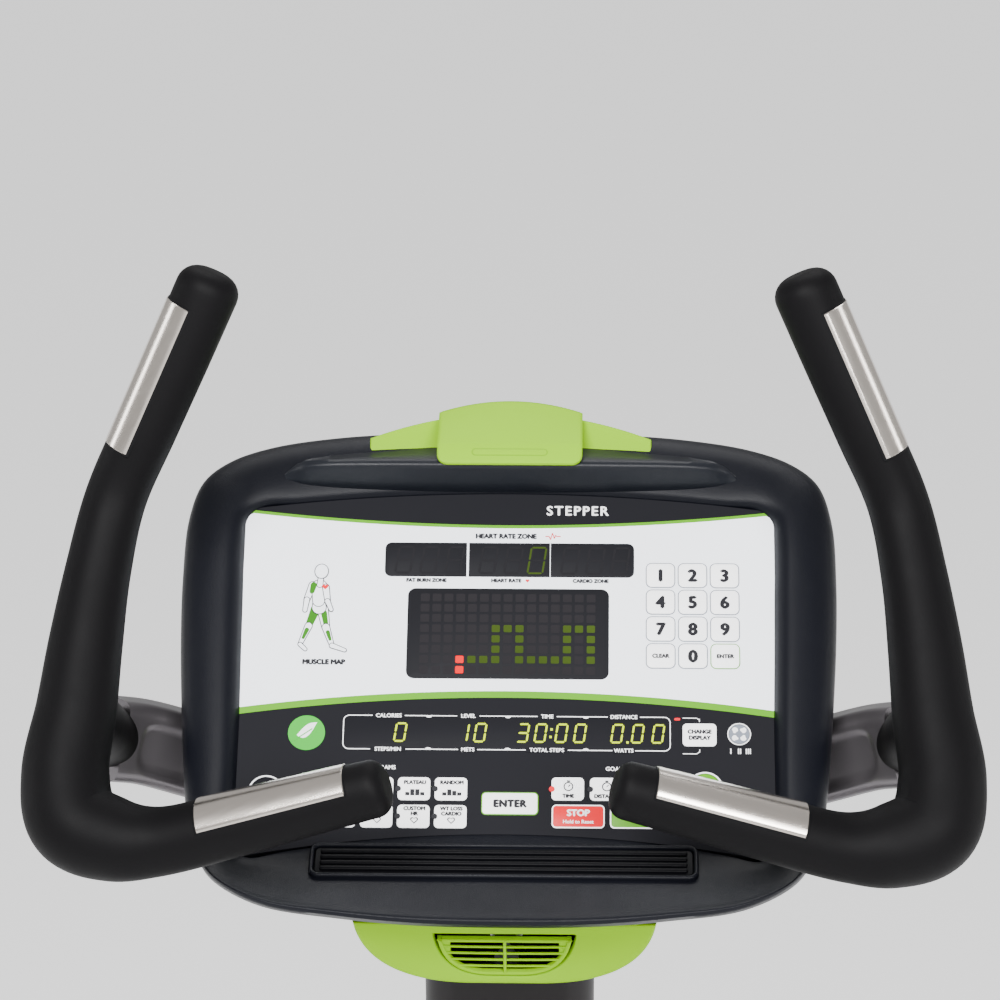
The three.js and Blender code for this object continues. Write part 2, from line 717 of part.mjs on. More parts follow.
// ---- Console ---------------------------------------------------------------------------------
// Everything here is in the console's own frame: x across, y up the panel, z out of the panel.
function consoleOutline(shrink = 0) {
  const k = (x) => x * (1 - shrink / 215);
  const low = -183 + shrink;
  const high = 181 - shrink;
  const s = new THREE.Shape();
  s.moveTo(0, low);
  s.bezierCurveTo(k(90), low, k(165), low + 12, k(187), -134);
  s.bezierCurveTo(k(200), -108, k(212), -40, k(214.5), 40);
  s.bezierCurveTo(k(215.5), 80, k(215), 110, k(209), high - 47);
  s.bezierCurveTo(k(203), high - 23, k(165), high - 15, k(130), high - 9.5);
  s.bezierCurveTo(k(90), high - 3.5, k(40), high, 0, high);
  s.bezierCurveTo(k(-40), high, k(-90), high - 3.5, k(-130), high - 9.5);
  s.bezierCurveTo(k(-165), high - 15, k(-203), high - 23, k(-209), high - 47);
  s.bezierCurveTo(k(-215), 110, k(-215.5), 80, k(-214.5), 40);
  s.bezierCurveTo(k(-212), -40, k(-200), -108, k(-187), -134);
  s.bezierCurveTo(k(-165), low + 12, k(-90), low, 0, low);
  return s;
}

const LEDGE = { y: -132, z: 10.3, slope: radians(26), width: 242, depth: 30 };
const BACK_SEAM = -15;

function onLedge(shape) {
  const turned = geometryOf(shape).rotateX(-LEDGE.slope).translate(0, LEDGE.y, LEDGE.z);
  return solid(turned);
}

// The control panel's outline, arched along its top and bottom.
function panelShape(grow) {
  const { half, low, high, corner } = PANEL;
  const w = half + grow;
  const [lowEdge, lowMiddle] = low.map((y) => y - grow);
  const [highEdge, highMiddle] = high.map((y) => y + grow);
  const s = new THREE.Shape();
  s.moveTo(-w, lowEdge + corner);
  s.quadraticCurveTo(-w, lowEdge, corner - w, lowEdge + 1.5);
  s.quadraticCurveTo(0, 2 * lowMiddle - lowEdge, w - corner, lowEdge + 1.5);
  s.quadraticCurveTo(w, lowEdge, w, lowEdge + corner);
  s.lineTo(w, highEdge - corner);
  s.quadraticCurveTo(w, highEdge, w - corner, highEdge + 1.5);
  s.quadraticCurveTo(0, 2 * highMiddle - highEdge, corner - w, highEdge + 1.5);
  s.quadraticCurveTo(-w, highEdge, -w, highEdge - corner);
  s.closePath();
  return s;
}

function console3d() {
  const body = prismZ(consoleOutline(), BACK_SEAM, 60, 5);
  const sideView = prismX(
    outline([
      [190, BACK_SEAM],
      [190, 2],
      [176, 12],
      [-102, 12],
      [-110, 2],
      [-116, 2],
      [-150, 18.6],
      [-172, 29.3],
      [-179, 32.5],
      [-184, 29],
      [-180, 22],
      [-126, BACK_SEAM],
    ]),
    -220,
    220,
  );
  const panelRecess = prismZ(panelShape(1), 0, 40, 6);
  const tray = onLedge(
    block([-LEDGE.width / 2 - 1, -LEDGE.depth / 2 - 1, -3.5], [LEDGE.width / 2 + 1, LEDGE.depth / 2 + 1, 30]),
  );
  const hollow = prismZ(consoleOutline(5), BACK_SEAM - 1, -5, 5).intersect(
    block([-300, -104, -60], [300, 172, 0]),
  );
  const shell = body.intersect(sideView).subtract(panelRecess).subtract(tray).subtract(hollow);
  add("console_front_shell", shell, MATERIAL.shell, consoleFrame);

  backShell();
  panelPieces();
  topRack();
}

function backShell() {
  const ring = (half, low, high, z, r) =>
    roundedRectangle(-half, low, half, high, r)
      .extractPoints(3)
      .shape.map((p) => v3(p.x, p.y, z));
  const outer = loft([
    ring(206, -124, 172, BACK_SEAM - GAP, 60),
    ring(180, -95, 160, -45, 55),
    ring(110, -62, 118, BACK_Z, 40),
  ]);
  const inner = loft([
    ring(202, -120, 168, BACK_SEAM, 57),
    ring(176, -91, 156, -43, 52),
    ring(106, -59, 114, BACK_Z + WALL, 37),
  ]);
  add("console_back_shell", outer.subtract(inner), MATERIAL.shell, consoleFrame);
  add("circuit_board", block([-140, -70, -24], [140, 90, -22]), MATERIAL.board, consoleFrame);
}

function panelPieces() {
  const sheet = prismZ(panelShape(0), GAP, 1.4, 6);
  const WINDOWS = {
    zone_window: [-82, 72, 82, 96],
    matrix_window: [-66, -1, 66, 63],
    readout_window: [-106, -50, 106, -26.5],
  };
  const cutters = Object.values(WINDOWS).map(([x0, y0, x1, y1]) => block([x0, y0, -1], [x1, y1, 3]));
  add("control_overlay", sheet.subtract(union(...cutters)), MATERIAL.overlay, consoleFrame);
  for (const [name, [x0, y0, x1, y1]] of Object.entries(WINDOWS))
    add(
      name,
      block([x0 + GAP, y0 + GAP, GAP], [x1 - GAP, y1 - GAP, 1.6]),
      MATERIAL.window,
      consoleFrame,
    );

  const half = LEDGE.width / 2;
  const strip = block([-half, -LEDGE.depth / 2, -3.5 + GAP], [half, LEDGE.depth / 2, -1]);
  const ribs = [-10.5, -3.5, 3.5, 10.5].map((y) => block([-half + 3, y - 1.5, -2], [half - 3, y + 1.5, 1]));
  add("ledge_mat", onLedge(union(strip, ...ribs)), MATERIAL.rubber, consoleFrame);
}

const RACK = { front: 24, base: 12 + GAP };

function topRack() {
  const lens = new THREE.Shape();
  lens.moveTo(-150, 142);
  lens.quadraticCurveTo(0, 124, 150, 142);
  lens.quadraticCurveTo(80, 163, 0, 163);
  lens.quadraticCurveTo(-80, 163, -150, 142);
  add("rack_ledge", prismZ(lens, RACK.base, RACK.front, 10), MATERIAL.shell, consoleFrame);

  const wings = outline([
    [-94, 164],
    [-88, 170],
    [-50, 182],
    [0, 187],
    [50, 182],
    [88, 170],
    [94, 164],
  ]);
  add("rack_backrest", prismZ(wings, RACK.base, 17), MATERIAL.green, consoleFrame);

  const clip = outline([
    [140, RACK.front + 0.8],
    [164, RACK.front + 0.8],
    [164, 17.8],
    [188, 17.8],
    [192, 10],
    [196, 8],
    [197, 12],
    [189, 21],
    [164, 29.5],
    [143, 30.5],
    [140, 29],
  ]);
  add("media_clip", prismX(clip, -48, 48), MATERIAL.green, consoleFrame);
}

// ---- Fan under the console --------------------------------------------------------------------
const FAN = { low: 1200, high: 1254, front: 90, back: 236, half: 97.5, slope: radians(29) };
const VENT = { half: 46, low: -23, high: 19.5 }; // on the sloped front, from its middle

// A boat-shaped outline in x and z, open upwards.
function boat(half, low, high, inset = 0) {
  const s = new THREE.Shape();
  const w = half - inset;
  s.moveTo(-w, high - inset);
  s.bezierCurveTo(-w * 0.96, low + (high - low) * 0.48, -w * 0.72, low + inset, -w * 0.2, low + inset);
  s.lineTo(w * 0.2, low + inset);
  s.bezierCurveTo(w * 0.72, low + inset, w * 0.96, low + (high - low) * 0.48, w, high - inset);
  s.closePath();
  return s;
}

// From the front's own upright frame to its place: y runs into the housing, z up its face.
const onFanFront = (shape) =>
  solid(geometryOf(shape).rotateX(FAN.slope).translate(0, FAN.front, (FAN.low + FAN.high) / 2));

function fan() {
  const { half, low, high, front, back } = FAN;
  const beyond = (inset) => onFanFront(block([-200, -200, -200], [200, inset, 200]));
  const outer = prismY(boat(half, low, high), front - 30, back, 8).subtract(beyond(0));
  const inner = prismY(boat(half, low, high, WALL), front - 30, back + 10, 8).subtract(beyond(WALL));
  const opening = onFanFront(prismY(boat(VENT.half, VENT.low, VENT.high), -10, 10, 6));
  const housing = outer.subtract(inner).subtract(opening).subtract(mastSolid(1.2, 1100, 1400));
  add("fan_housing", housing, MATERIAL.green);

  // The louvre tilts in the opening about a level line through its middle.
  const slots = [];
  for (let z = VENT.low + 6; z < VENT.high - 4; z += 5)
    for (const s of [-1, 1]) {
      const reach = 33 - Math.max(0, VENT.low + 16 - z) * 1.2;
      slots.push(block([Math.min(s * 1.5, s * reach), -5, z], [Math.max(s * 1.5, s * reach), 10, z + 2.6]));
    }
  const face = prismY(boat(VENT.half, VENT.low, VENT.high, 1.6), -1.5, 2.5, 6);
  add("fan_louvre", onFanFront(face.subtract(union(...slots))), MATERIAL.green);

  const [hubY, hubZ] = [128, 1228];
  const blades = [0, 1, 2, 3, 4].map((i) => {
    const blade = new THREE.BoxGeometry(8, 1.6, 14).rotateZ(0.6).translate(0, 0, 12);
    return solid(blade.rotateY((i / 5) * 2 * Math.PI).translate(0, hubY, hubZ));
  });
  add("fan_rotor", union(rod("y", 6.5, hubY - 4, hubY + 4, 0, hubZ, 16), ...blades), MATERIAL.rubber);
  const motor = union(
    rod("y", 12, hubY + 6, hubY + 26, 0, hubZ, 20),
    block([-8, hubY + 8, FAN.low + WALL + GAP], [8, hubY + 24, hubZ]),
  );
  add("fan_motor", motor, MATERIAL.steel);
}

floorFrame();
driveFrame();
driveTrain();
pedalSide("left", -1);
pedalSide("right", 1);
covers();
mast();
handlebar("left", -1);
handlebar("right", 1);
console3d();
fan();

export default part;
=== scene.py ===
# Looks for the stepper: fine surfaces, materials, printed panel, light and camera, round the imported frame.
# Lengths inside the helpers are millimetres; a piece is scaled to metres when it is made.
import math

import bmesh
import bpy
from mathutils import Matrix, Vector


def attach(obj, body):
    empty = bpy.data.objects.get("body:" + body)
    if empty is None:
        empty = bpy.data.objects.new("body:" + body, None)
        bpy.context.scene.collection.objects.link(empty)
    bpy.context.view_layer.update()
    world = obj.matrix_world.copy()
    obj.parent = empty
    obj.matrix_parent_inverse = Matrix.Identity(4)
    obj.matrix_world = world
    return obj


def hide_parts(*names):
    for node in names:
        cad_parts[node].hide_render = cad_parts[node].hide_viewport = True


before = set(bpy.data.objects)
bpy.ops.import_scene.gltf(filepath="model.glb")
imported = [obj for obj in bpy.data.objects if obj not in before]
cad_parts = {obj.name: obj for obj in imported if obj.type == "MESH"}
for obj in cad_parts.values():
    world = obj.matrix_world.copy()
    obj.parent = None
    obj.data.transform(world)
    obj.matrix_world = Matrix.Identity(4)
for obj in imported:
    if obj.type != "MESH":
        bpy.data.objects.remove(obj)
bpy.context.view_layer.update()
MM = 0.001
THIN = 0.1  # the radius that stands for a lathe's axis


def linked(name, data):
    """A new object in the scene."""
    obj = bpy.data.objects.new(name, data)
    bpy.context.collection.objects.link(obj)
    return obj


# ---- Camera -----------------------------------------------------------------------------------
PANEL_CENTRE = Vector((0, 150, 1395))
CAMERA = {"azimuth": 1.5, "pitch": 15.0, "distance": 2400, "rise": 115.7, "across": -4.4, "roll": -0.05,
          "lens": 132.9, "sensor": 36, "far": 100}


def camera():
    az, pitch = math.radians(CAMERA["azimuth"]), math.radians(CAMERA["pitch"])
    turn = Matrix.Rotation(az, 3, "Z")
    ahead = turn @ Vector((0, math.cos(pitch), -math.sin(pitch)))
    up = turn @ Vector((0, math.sin(pitch), math.cos(pitch)))
    right = ahead.cross(up)
    place = PANEL_CENTRE - ahead * CAMERA["distance"] + up * CAMERA["rise"] + right * CAMERA["across"]
    data = bpy.data.cameras.new("camera")
    data.lens = CAMERA["lens"]
    data.sensor_width = CAMERA["sensor"]
    data.clip_end = CAMERA["far"]
    cam = linked("camera", data)
    axes = Matrix((right, up, -ahead)).transposed().to_4x4()
    cam.matrix_world = Matrix.Translation(place * MM) @ axes @ Matrix.Rotation(math.radians(CAMERA["roll"]),
                                                                               4, "Z")
    bpy.context.scene.camera = cam


camera()


# ---- Materials --------------------------------------------------------------------------------
def surface(name, color, rough, metal=0.0, grain=None, mottle=0.06, stretch=(1, 1, 1), spec=0.5, emit=0.0,
            rough_vary=0.06):
    """A procedural finish. grain is (grains per metre, depth in metres, strength)."""
    mat = bpy.data.materials.new(name)
    mat.use_nodes = True
    tree = mat.node_tree
    make = tree.nodes.new
    link = tree.links.new
    shader = tree.nodes["Principled BSDF"]
    shader.inputs["Metallic"].default_value = metal
    shader.inputs["Specular IOR Level"].default_value = spec
    place = make("ShaderNodeTexCoord")
    scale = make("ShaderNodeMapping")
    scale.inputs["Scale"].default_value = stretch
    link(place.outputs["Object"], scale.inputs["Vector"])

    def noise(per_metre, detail=3.0):
        n = make("ShaderNodeTexNoise")
        n.inputs["Scale"].default_value = per_metre
        n.inputs["Detail"].default_value = detail
        link(scale.outputs["Vector"], n.inputs["Vector"])
        return n.outputs["Fac"]

    cloud = noise(14, 4)
    tone = make("ShaderNodeMix")
    tone.data_type = "RGBA"
    dark = [c * (1 - mottle) for c in color]
    light = [min(1, c * (1 + mottle)) for c in color]
    tone.inputs["A"].default_value = (*dark, 1)
    tone.inputs["B"].default_value = (*light, 1)
    link(cloud, tone.inputs["Factor"])
    link(tone.outputs["Result"], shader.inputs["Base Color"])
    spread = make("ShaderNodeMapRange")
    spread.inputs["To Min"].default_value = max(0.02, rough - rough_vary)
    spread.inputs["To Max"].default_value = min(1, rough + rough_vary)
    link(noise(60, 5), spread.inputs["Value"])
    link(spread.outputs["Result"], shader.inputs["Roughness"])
    if grain:
        per_metre, depth, strength = grain
        bump = make("ShaderNodeBump")
        bump.inputs["Distance"].default_value = depth
        bump.inputs["Strength"].default_value = strength
        link(noise(per_metre, 2), bump.inputs["Height"])
        link(bump.outputs["Normal"], shader.inputs["Normal"])
    if emit:
        shader.inputs["Emission Color"].default_value = (*color, 1)
        shader.inputs["Emission Strength"].default_value = emit
    return mat


M = {
    "shell": surface("shell_plastic", (0.0034, 0.0038, 0.0062), 0.4, grain=(1700, 0.0003, 0.55), spec=0.13),
    "ledge": surface("ledge_plastic", (0.0056, 0.0066, 0.0096), 0.36, grain=(1900, 0.0003, 0.5), spec=0.22),
    # Near-black painted shadow, for the gap at the console's seam, the slots, the fan's hollow and the border
    # round the contacts.
    "painted_shadow": surface("seam_shadow", (0.0015, 0.0015, 0.002), 0.6, spec=0.1),
    "grip": surface("soft_rubber", (0.0028, 0.0026, 0.0030), 0.55, grain=(1500, 0.00025, 0.45), spec=0.07),
    "rubber": surface("black_rubber", (0.0020, 0.0020, 0.0028), 0.42, grain=(900, 0.00015, 0.2), spec=0.07),
    "contact": surface("brushed_contact", (0.74, 0.68, 0.62), 0.2, 1.0, (700, 0.00005, 0.3), 0.08,
                       stretch=(1, 9, 1.2)),
    "frame": surface("frame_paint", (0.105, 0.097, 0.104), 0.34, 0.7, (1100, 0.0002, 0.25), 0.05, spec=0.35),
    "mast": surface("mast_paint", (0.0075, 0.0062, 0.0068), 0.42, 0.1, (1100, 0.0002, 0.25), 0.05, spec=0.2),
    "cover": surface("cover_plastic", (0.0085, 0.009, 0.011), 0.48, grain=(900, 0.0003, 0.35), spec=0.25),
    "green": surface("lime_plastic", (0.212, 0.44, 0.0005), 0.42, grain=(1500, 0.0002, 0.25), mottle=0.04,
                     spec=0.04),
    # A darker lime as painted shade round the clip's thumb recess.
    "green_painted_shade": surface("lime_painted_shade", (0.15, 0.33, 0.001), 0.45, mottle=0.04, spec=0.08),
    "steel": surface("turned_steel", (0.5, 0.51, 0.52), 0.3, 1.0, (500, 0.0001, 0.3), 0.08,
                     stretch=(12, 1, 1)),
    "panel": surface("panel_film", (0.0090, 0.0090, 0.0112), 0.5, grain=(2600, 0.0001, 0.15), mottle=0.03,
                     spec=0.05),
    # Emission on the white print is painted light; the print is no lamp.
    "white": surface("print_white_painted_glow", (0.90, 0.93, 0.98), 0.4, emit=0.15, grain=(2600, 0.0001, 0.1),
                     mottle=0.012, spec=0.25),
    # Emission on the key faces is painted light; the keys are no lamps.
    "key": surface("print_key_painted_glow", (0.96, 0.96, 0.97), 0.36, emit=0.32, grain=(2600, 0.0001, 0.1), mottle=0.01,
                   spec=0.3),
    "line_green": surface("print_green", (0.085, 0.30, 0.002), 0.4, mottle=0.03, spec=0.2),
    "leaf": surface("print_leaf", (0.028, 0.16, 0.006), 0.4, mottle=0.03, spec=0.12),
    "disc": surface("print_disc", (0.028, 0.36, 0.022), 0.4, mottle=0.03, spec=0.2),
    "ink": surface("print_ink", (0.008, 0.008, 0.011), 0.45, mottle=0.03, spec=0.2),
    "grey": surface("print_grey", (0.17, 0.19, 0.23), 0.45, mottle=0.03, spec=0.2),
    "letter": surface("print_letter", (0.88, 0.88, 0.89), 0.45, mottle=0.01, spec=0.2),
    "red": surface("print_red", (0.66, 0.006, 0.014), 0.4, mottle=0.02, spec=0.2),
    "smoke": surface("display_window", (0.0098, 0.0098, 0.0118), 0.5, mottle=0.04, rough_vary=0.03,
                     spec=0.06),
    "cell": surface("display_cell", (0.0142, 0.0130, 0.0150), 0.5, mottle=0.1, spec=0.05),
    "faint": surface("display_faint", (0.0116, 0.0112, 0.0130), 0.5, mottle=0.1, spec=0.05),
    "lit": surface("display_lit", (0.46, 0.58, 0.0), 0.4, emit=0.34, mottle=0.02, spec=0.06),
    "lit_dim": surface("display_dim", (0.030, 0.050, 0.006), 0.5, emit=0.12, mottle=0.35, spec=0.05),
    "lit_red": surface("display_red", (0.70, 0.002, 0.004), 0.5, emit=0.05, mottle=0.02, spec=0.05),
    "copper": surface("circuit_resin", (0.02, 0.12, 0.05), 0.4, mottle=0.2),
}


# ---- Mesh helpers -----------------------------------------------------------------------------
class Shape:
    """Vertices and faces in millimetres, with a material number for each face."""

    def __init__(self):
        self.verts, self.faces, self.mats = [], [], []

    def add(self, made, mat=0):
        verts, faces = made
        base = len(self.verts)
        self.verts += [tuple(p) for p in verts]
        self.faces += [[base + i for i in f] for f in faces]
        self.mats += [mat] * len(faces)
        return self


def mesh_of(name, shape, mats=(), weld=0.0):
    """A mesh in metres with its faces turned outwards."""
    mesh = bpy.data.meshes.new(name)
    mesh.from_pydata([Vector(p) * MM for p in shape.verts], [], shape.faces)
    for key in mats:
        mesh.materials.append(M[key])
    if mats:
        mesh.polygons.foreach_set("material_index", shape.mats)
    work = bmesh.new()
    work.from_mesh(mesh)
    if weld:
        bmesh.ops.remove_doubles(work, verts=work.verts, dist=weld)
    bmesh.ops.recalc_face_normals(work, faces=work.faces)
    work.to_mesh(mesh)
    work.free()
    return mesh


def shade(mesh, sharp):
    """Smooth shading, with edges over an angle in degrees kept sharp."""
    mesh.polygons.foreach_set("use_smooth", [True] * len(mesh.polygons))
    mesh.set_sharp_from_angle(angle=math.radians(sharp))


def piece(name, shape, mats, slot, body="machine", stands_for=(), sharp=35):
    """One visible piece: its mesh, the body it rides on and the CAD nodes it stands for; slot is not used."""
    mesh = mesh_of(name, shape, mats, weld=1e-7)
    shade(mesh, sharp)
    obj = linked(name, mesh)
    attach(obj, body)
    if stands_for:
        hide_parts(*stands_for)
    return obj


def look(node, shape, mats, slot, **more):
    """The piece that stands for one CAD node."""
    return piece(f"{node}_look", shape, mats, slot, stands_for=[node], **more)


def spline(points, per=8, closed=False):
    """A smooth line through rows of numbers of any length: position first, then what varies with it."""
    rows = [list(map(float, p)) for p in points]
    n = len(rows)

    def row(i):
        if closed:
            return rows[i % n]
        if i < 0:
            return [2 * a - b for a, b in zip(rows[0], rows[1])]
        if i >= n:
            return [2 * a - b for a, b in zip(rows[-1], rows[-2])]
        return rows[i]

    def knot(a, b):
        return max(1e-6, math.dist(a[:3], b[:3]) ** 0.5)

    out = []
    for i in range(n if closed else n - 1):
        p = [row(i + k) for k in (-1, 0, 1, 2)]
        t = [0.0]
        for a, b in zip(p, p[1:]):
            t.append(t[-1] + knot(a, b))
        for s in range(per):
            x = t[1] + (t[2] - t[1]) * s / per

            def blend(a, b, ta, tb):
                return [(tb - x) / (tb - ta) * u + (x - ta) / (tb - ta) * v for u, v in zip(a, b)]

            a1, a2, a3 = (blend(p[k], p[k + 1], t[k], t[k + 1]) for k in range(3))
            b1, b2 = blend(a1, a2, t[0], t[2]), blend(a2, a3, t[1], t[3])
            out.append(blend(b1, b2, t[1], t[2]))
    if not closed:
        out.append(rows[-1])
    return out


def loft(rings, closed=False, caps=True):
    n = len(rings[0])
    verts = [p for ring in rings for p in ring]
    count = len(rings)
    faces = []
    for i in range(count if closed else count - 1):
        a, b = i * n, (i + 1) % count * n
        faces += [[a + j, a + (j + 1) % n, b + (j + 1) % n, b + j] for j in range(n)]
    if caps and not closed:
        faces += [list(range(n))[::-1], [(count - 1) * n + j for j in range(n)]]
    return verts, faces


def inset(outline, by):
    """The outline moved inwards; it runs anticlockwise."""
    if not by:
        return list(outline)
    out = []
    n = len(outline)
    for i, p in enumerate(outline):
        a, b = outline[i - 1], outline[(i + 1) % n]
        d1 = Vector((p[0] - a[0], p[1] - a[1])).normalized()
        d2 = Vector((b[0] - p[0], b[1] - p[1])).normalized()
        n1, n2 = Vector((-d1.y, d1.x)), Vector((-d2.y, d2.x))
        m = n1 + n2
        k = by / max(0.35, 1 + n1.dot(n2))
        out.append((p[0] + m.x * k, p[1] + m.y * k))
    return out


def anticlockwise(outline):
    area = sum(a[0] * b[1] - b[0] * a[1] for a, b in zip(outline, outline[1:] + outline[:1]))
    return outline[::-1] if area < 0 else outline


def slab(outline, low, high, place, r=0.0, steps=3, both=False):
    """An outline given thickness, with its top edge rounded (both edges if asked)."""
    outline = anticlockwise(outline)
    levels = []
    if both and r:
        levels += [(low + r * (1 - math.cos(a)), r * (1 - math.sin(a))) for a in arc_steps(steps)]
    else:
        levels.append((low, 0))
    if r:
        levels += [(high - r * (1 - math.cos(a)), r * (1 - math.sin(a))) for a in arc_steps(steps)[::-1]]
    else:
        levels.append((high, 0))
    rings = [[place(x, y, z) for x, y in inset(outline, by)] for z, by in levels]
    return loft(rings)


def arc_steps(steps):
    """Angles over a quarter turn."""
    return [math.pi / 2 * k / steps for k in range(steps + 1)]


def polar(cx, cy, r, a):
    return (cx + r * math.cos(a), cy + r * math.sin(a))


def rounded(x0, y0, x1, y1, r, steps=5):
    """A rectangle with rounded corners."""
    corners = ((x1 - r, y0 + r, -90), (x1 - r, y1 - r, 0), (x0 + r, y1 - r, 90), (x0 + r, y0 + r, 180))
    return [polar(cx, cy, r, math.radians(a0 + 90 * k / steps)) for cx, cy, a0 in corners
            for k in range(steps + 1)]


def tile(x, y, dx, dy, r, steps=5):
    """A rounded rectangle about its middle."""
    return rounded(x - dx, y - dy, x + dx, y + dy, r, steps)


def disc(cx, cy, r, n=40):
    return [polar(cx, cy, r, 2 * math.pi * k / n) for k in range(n)]


def pin(r, a, b):
    """A lathe profile for a plain pin from a to b."""
    return [(THIN, a), (r, a), (r, b), (THIN, b)]


def console(u, v, w):
    """The panel's own frame: u across, v up the panel, w out of it."""
    t = math.radians(40)
    return (u, PANEL_CENTRE.y + v * math.sin(t) - w * math.cos(t),
            PANEL_CENTRE.z + v * math.cos(t) + w * math.sin(t))


def along_x(y, z, x):
    return (x, y, z)


def along_y(x, z, y):
    return (x, y, z)


def along_z(x, y, z):
    return (x, y, z)


def lathe(profile, axis, centre, n=48):
    """Profile rows are (radius, distance along the axis)."""
    rings = []
    for r, a in profile:
        ring = []
        for k in range(n):
            c, s = r * math.cos(2 * math.pi * k / n), r * math.sin(2 * math.pi * k / n)
            p = {"x": (a, c, s), "y": (c, a, s), "z": (c, s, a)}[axis]
            ring.append(tuple(q + o for q, o in zip(p, centre)))
        rings.append(ring)
    return loft(rings)


def softened(profile, r=1.0):
    """A lathe profile with a small flat cut across each corner, so that edges catch the light."""
    out = [profile[0]]
    for a, p, b in zip(profile, profile[1:], profile[2:]):
        for q in (a, b):
            d = math.dist(p, q)
            k = min(r, d * 0.4) / max(d, 1e-6)
            out.append((p[0] + (q[0] - p[0]) * k, p[1] + (q[1] - p[1]) * k))
    return out + [profile[-1]]


def tube(rows, sides=40, start_round=0.0, end_round=0.0, first=Vector((1, 0, 0))):
    """A tube along rows of (x, y, z, radius), its ends rounded over."""
    pts = [Vector(r[:3]) for r in rows]
    tangents = []
    for i in range(len(pts)):
        a, b = pts[max(0, i - 1)], pts[min(len(pts) - 1, i + 1)]
        tangents.append((b - a).normalized())
    rings = []
    normal = first
    data = []
    for p, t, row in zip(pts, tangents, rows):
        normal = (normal - t * normal.dot(t)).normalized()
        data.append((p, t, normal.copy(), t.cross(normal), row[3]))

    def ring(p, a, b, r):
        return [p + a * (r * math.cos(2 * math.pi * k / sides)) + b * (r * math.sin(2 * math.pi * k / sides))
                for k in range(sides)]

    if start_round:
        p, t, a, b, r = data[0]
        for ang in arc_steps(7)[:-1]:
            rings.append(ring(p - t * start_round * math.cos(ang), a, b,
                              r - start_round * (1 - math.sin(ang))))
    for p, t, a, b, r in data:
        rings.append(ring(p, a, b, r))
    if end_round:
        p, t, a, b, r = data[-1]
        for ang in arc_steps(6)[:-1][::-1]:
            rings.append(ring(p + t * end_round * math.cos(ang), a, b, r - end_round * (1 - math.sin(ang))))
    return loft(rings)


CAP_SHARE = 0.70  # a capital's height over the font's size
# How far apart a word's strikes are, for its weight, and at most for its height; then their heights.
STRIKE = {"per_bold": 2.3, "most": 0.12, "rise": 0.7, "high": 0.12, "step": 0.01, "deep": 0.1}


def text(shape, words, u, v, cap, mat, w, bold, spread=1.0):
    """Words centred at u, v on the panel, cap millimetres tall, added to a shape."""
    curve = bpy.data.curves.new("words", "FONT")
    curve.body = words
    curve.size = cap / CAP_SHARE
    curve.align_x = "CENTER"
    curve.space_character = spread
    curve.resolution_u = 3
    made = linked("words", curve)
    bpy.context.view_layer.update()
    mesh = bpy.data.meshes.new_from_object(made.evaluated_get(bpy.context.evaluated_depsgraph_get()))
    flat = [(p.co.x + u, p.co.y + v - cap / 2) for p in mesh.vertices]
    faces = [list(f.vertices) for f in mesh.polygons]
    n = len(flat)
    edges = {}
    for f in faces:
        for a, b in zip(f, f[1:] + f[:1]):
            edges[(a, b)] = edges.get((a, b), 0) + 1
    rim = [(a, b) for a, b in edges if (b, a) not in edges]
    solid = faces + [[a + n for a in f][::-1] for f in faces] + [[b, a, a + n, b + n] for a, b in rim]
    # Struck five times, a little apart, for the weight of its strokes.
    side = min(bold * STRIKE["per_bold"], cap * STRIKE["most"])
    rise = side * STRIKE["rise"]
    for k, (dx, dy) in enumerate(((0, 0), (-side, 0), (side, 0), (0, rise), (0, -rise))):
        top, low = w + STRIKE["high"] + STRIKE["step"] * k, w - STRIKE["deep"]
        verts = [console(x + dx, y + dy, h) for h in (top, low) for x, y in flat]
        shape.add((verts, solid), mat)
    bpy.data.objects.remove(made)
    bpy.data.curves.remove(curve)
    bpy.data.meshes.remove(mesh)


def cut(obj, *cutters):
    """Cuts shapes out of a piece."""
    for shape in cutters:
        tool = linked("cutter", mesh_of("cutter", shape))
        mod = obj.modifiers.new("cut", "BOOLEAN")
        mod.operation, mod.solver, mod.object = "DIFFERENCE", "EXACT", tool
        bpy.context.view_layer.update()
        done = bpy.data.meshes.new_from_object(obj.evaluated_get(bpy.context.evaluated_depsgraph_get()))
        obj.modifiers.remove(mod)
        old, obj.data = obj.data, done
        bpy.data.meshes.remove(old)
        bpy.data.objects.remove(tool)
    shade(obj.data, 32)


# ---- Console shells ---------------------------------------------------------------------------
SHELL_SEAM, BACK_BOSS = -14.8, -78.2  # heights out of the panel's plane
# From the top's middle, round the right, to the bottom's middle: panel edge, outer edge, and how much
# of the top, side and bottom section there is.
STATIONS = [
    ((0, 131.5), (0, 182), (1, 0, 0)),
    ((50, 130.6), (62, 181), (1, 0, 0)),
    ((100, 127.6), (115, 177.5), (1, 0, 0)),
    ((141, 123.8), (161, 169.6), (1, 0, 0)),
    ((164, 121.0), (188.6, 158.2), (0.75, 0.25, 0)),
    ((173.6, 112.5), (205.6, 142.4), (0.35, 0.65, 0)),
    ((175, 92), (214.0, 115), (0, 1, 0)),
    ((174.4, 55), (216.0, 72), (0, 1, 0)),
    ((173.8, 15), (215.0, 28), (0, 1, 0)),
    ((173, -25), (212, -20), (0, 1, 0)),
    ((173, -65), (208.5, -62), (0, 1, 0)),
    ((173, -95), (204.0, -98), (0, 0.9, 0.1)),
    ((172.5, -114), (196.5, -124), (0, 0.6, 0.4)),
    ((165, -124.5), (182.5, -147.0), (0, 0.2, 0.8)),
    ((139, -120.5), (151.5, -165.5), (0, 0, 1)),
    ((94, -113.5), (103.5, -173.2), (0, 0, 1)),
    ((48, -109.5), (54, -177.5), (0, 0, 1)),
    ((0, -108), (0, -178.5), (0, 0, 1)),
]
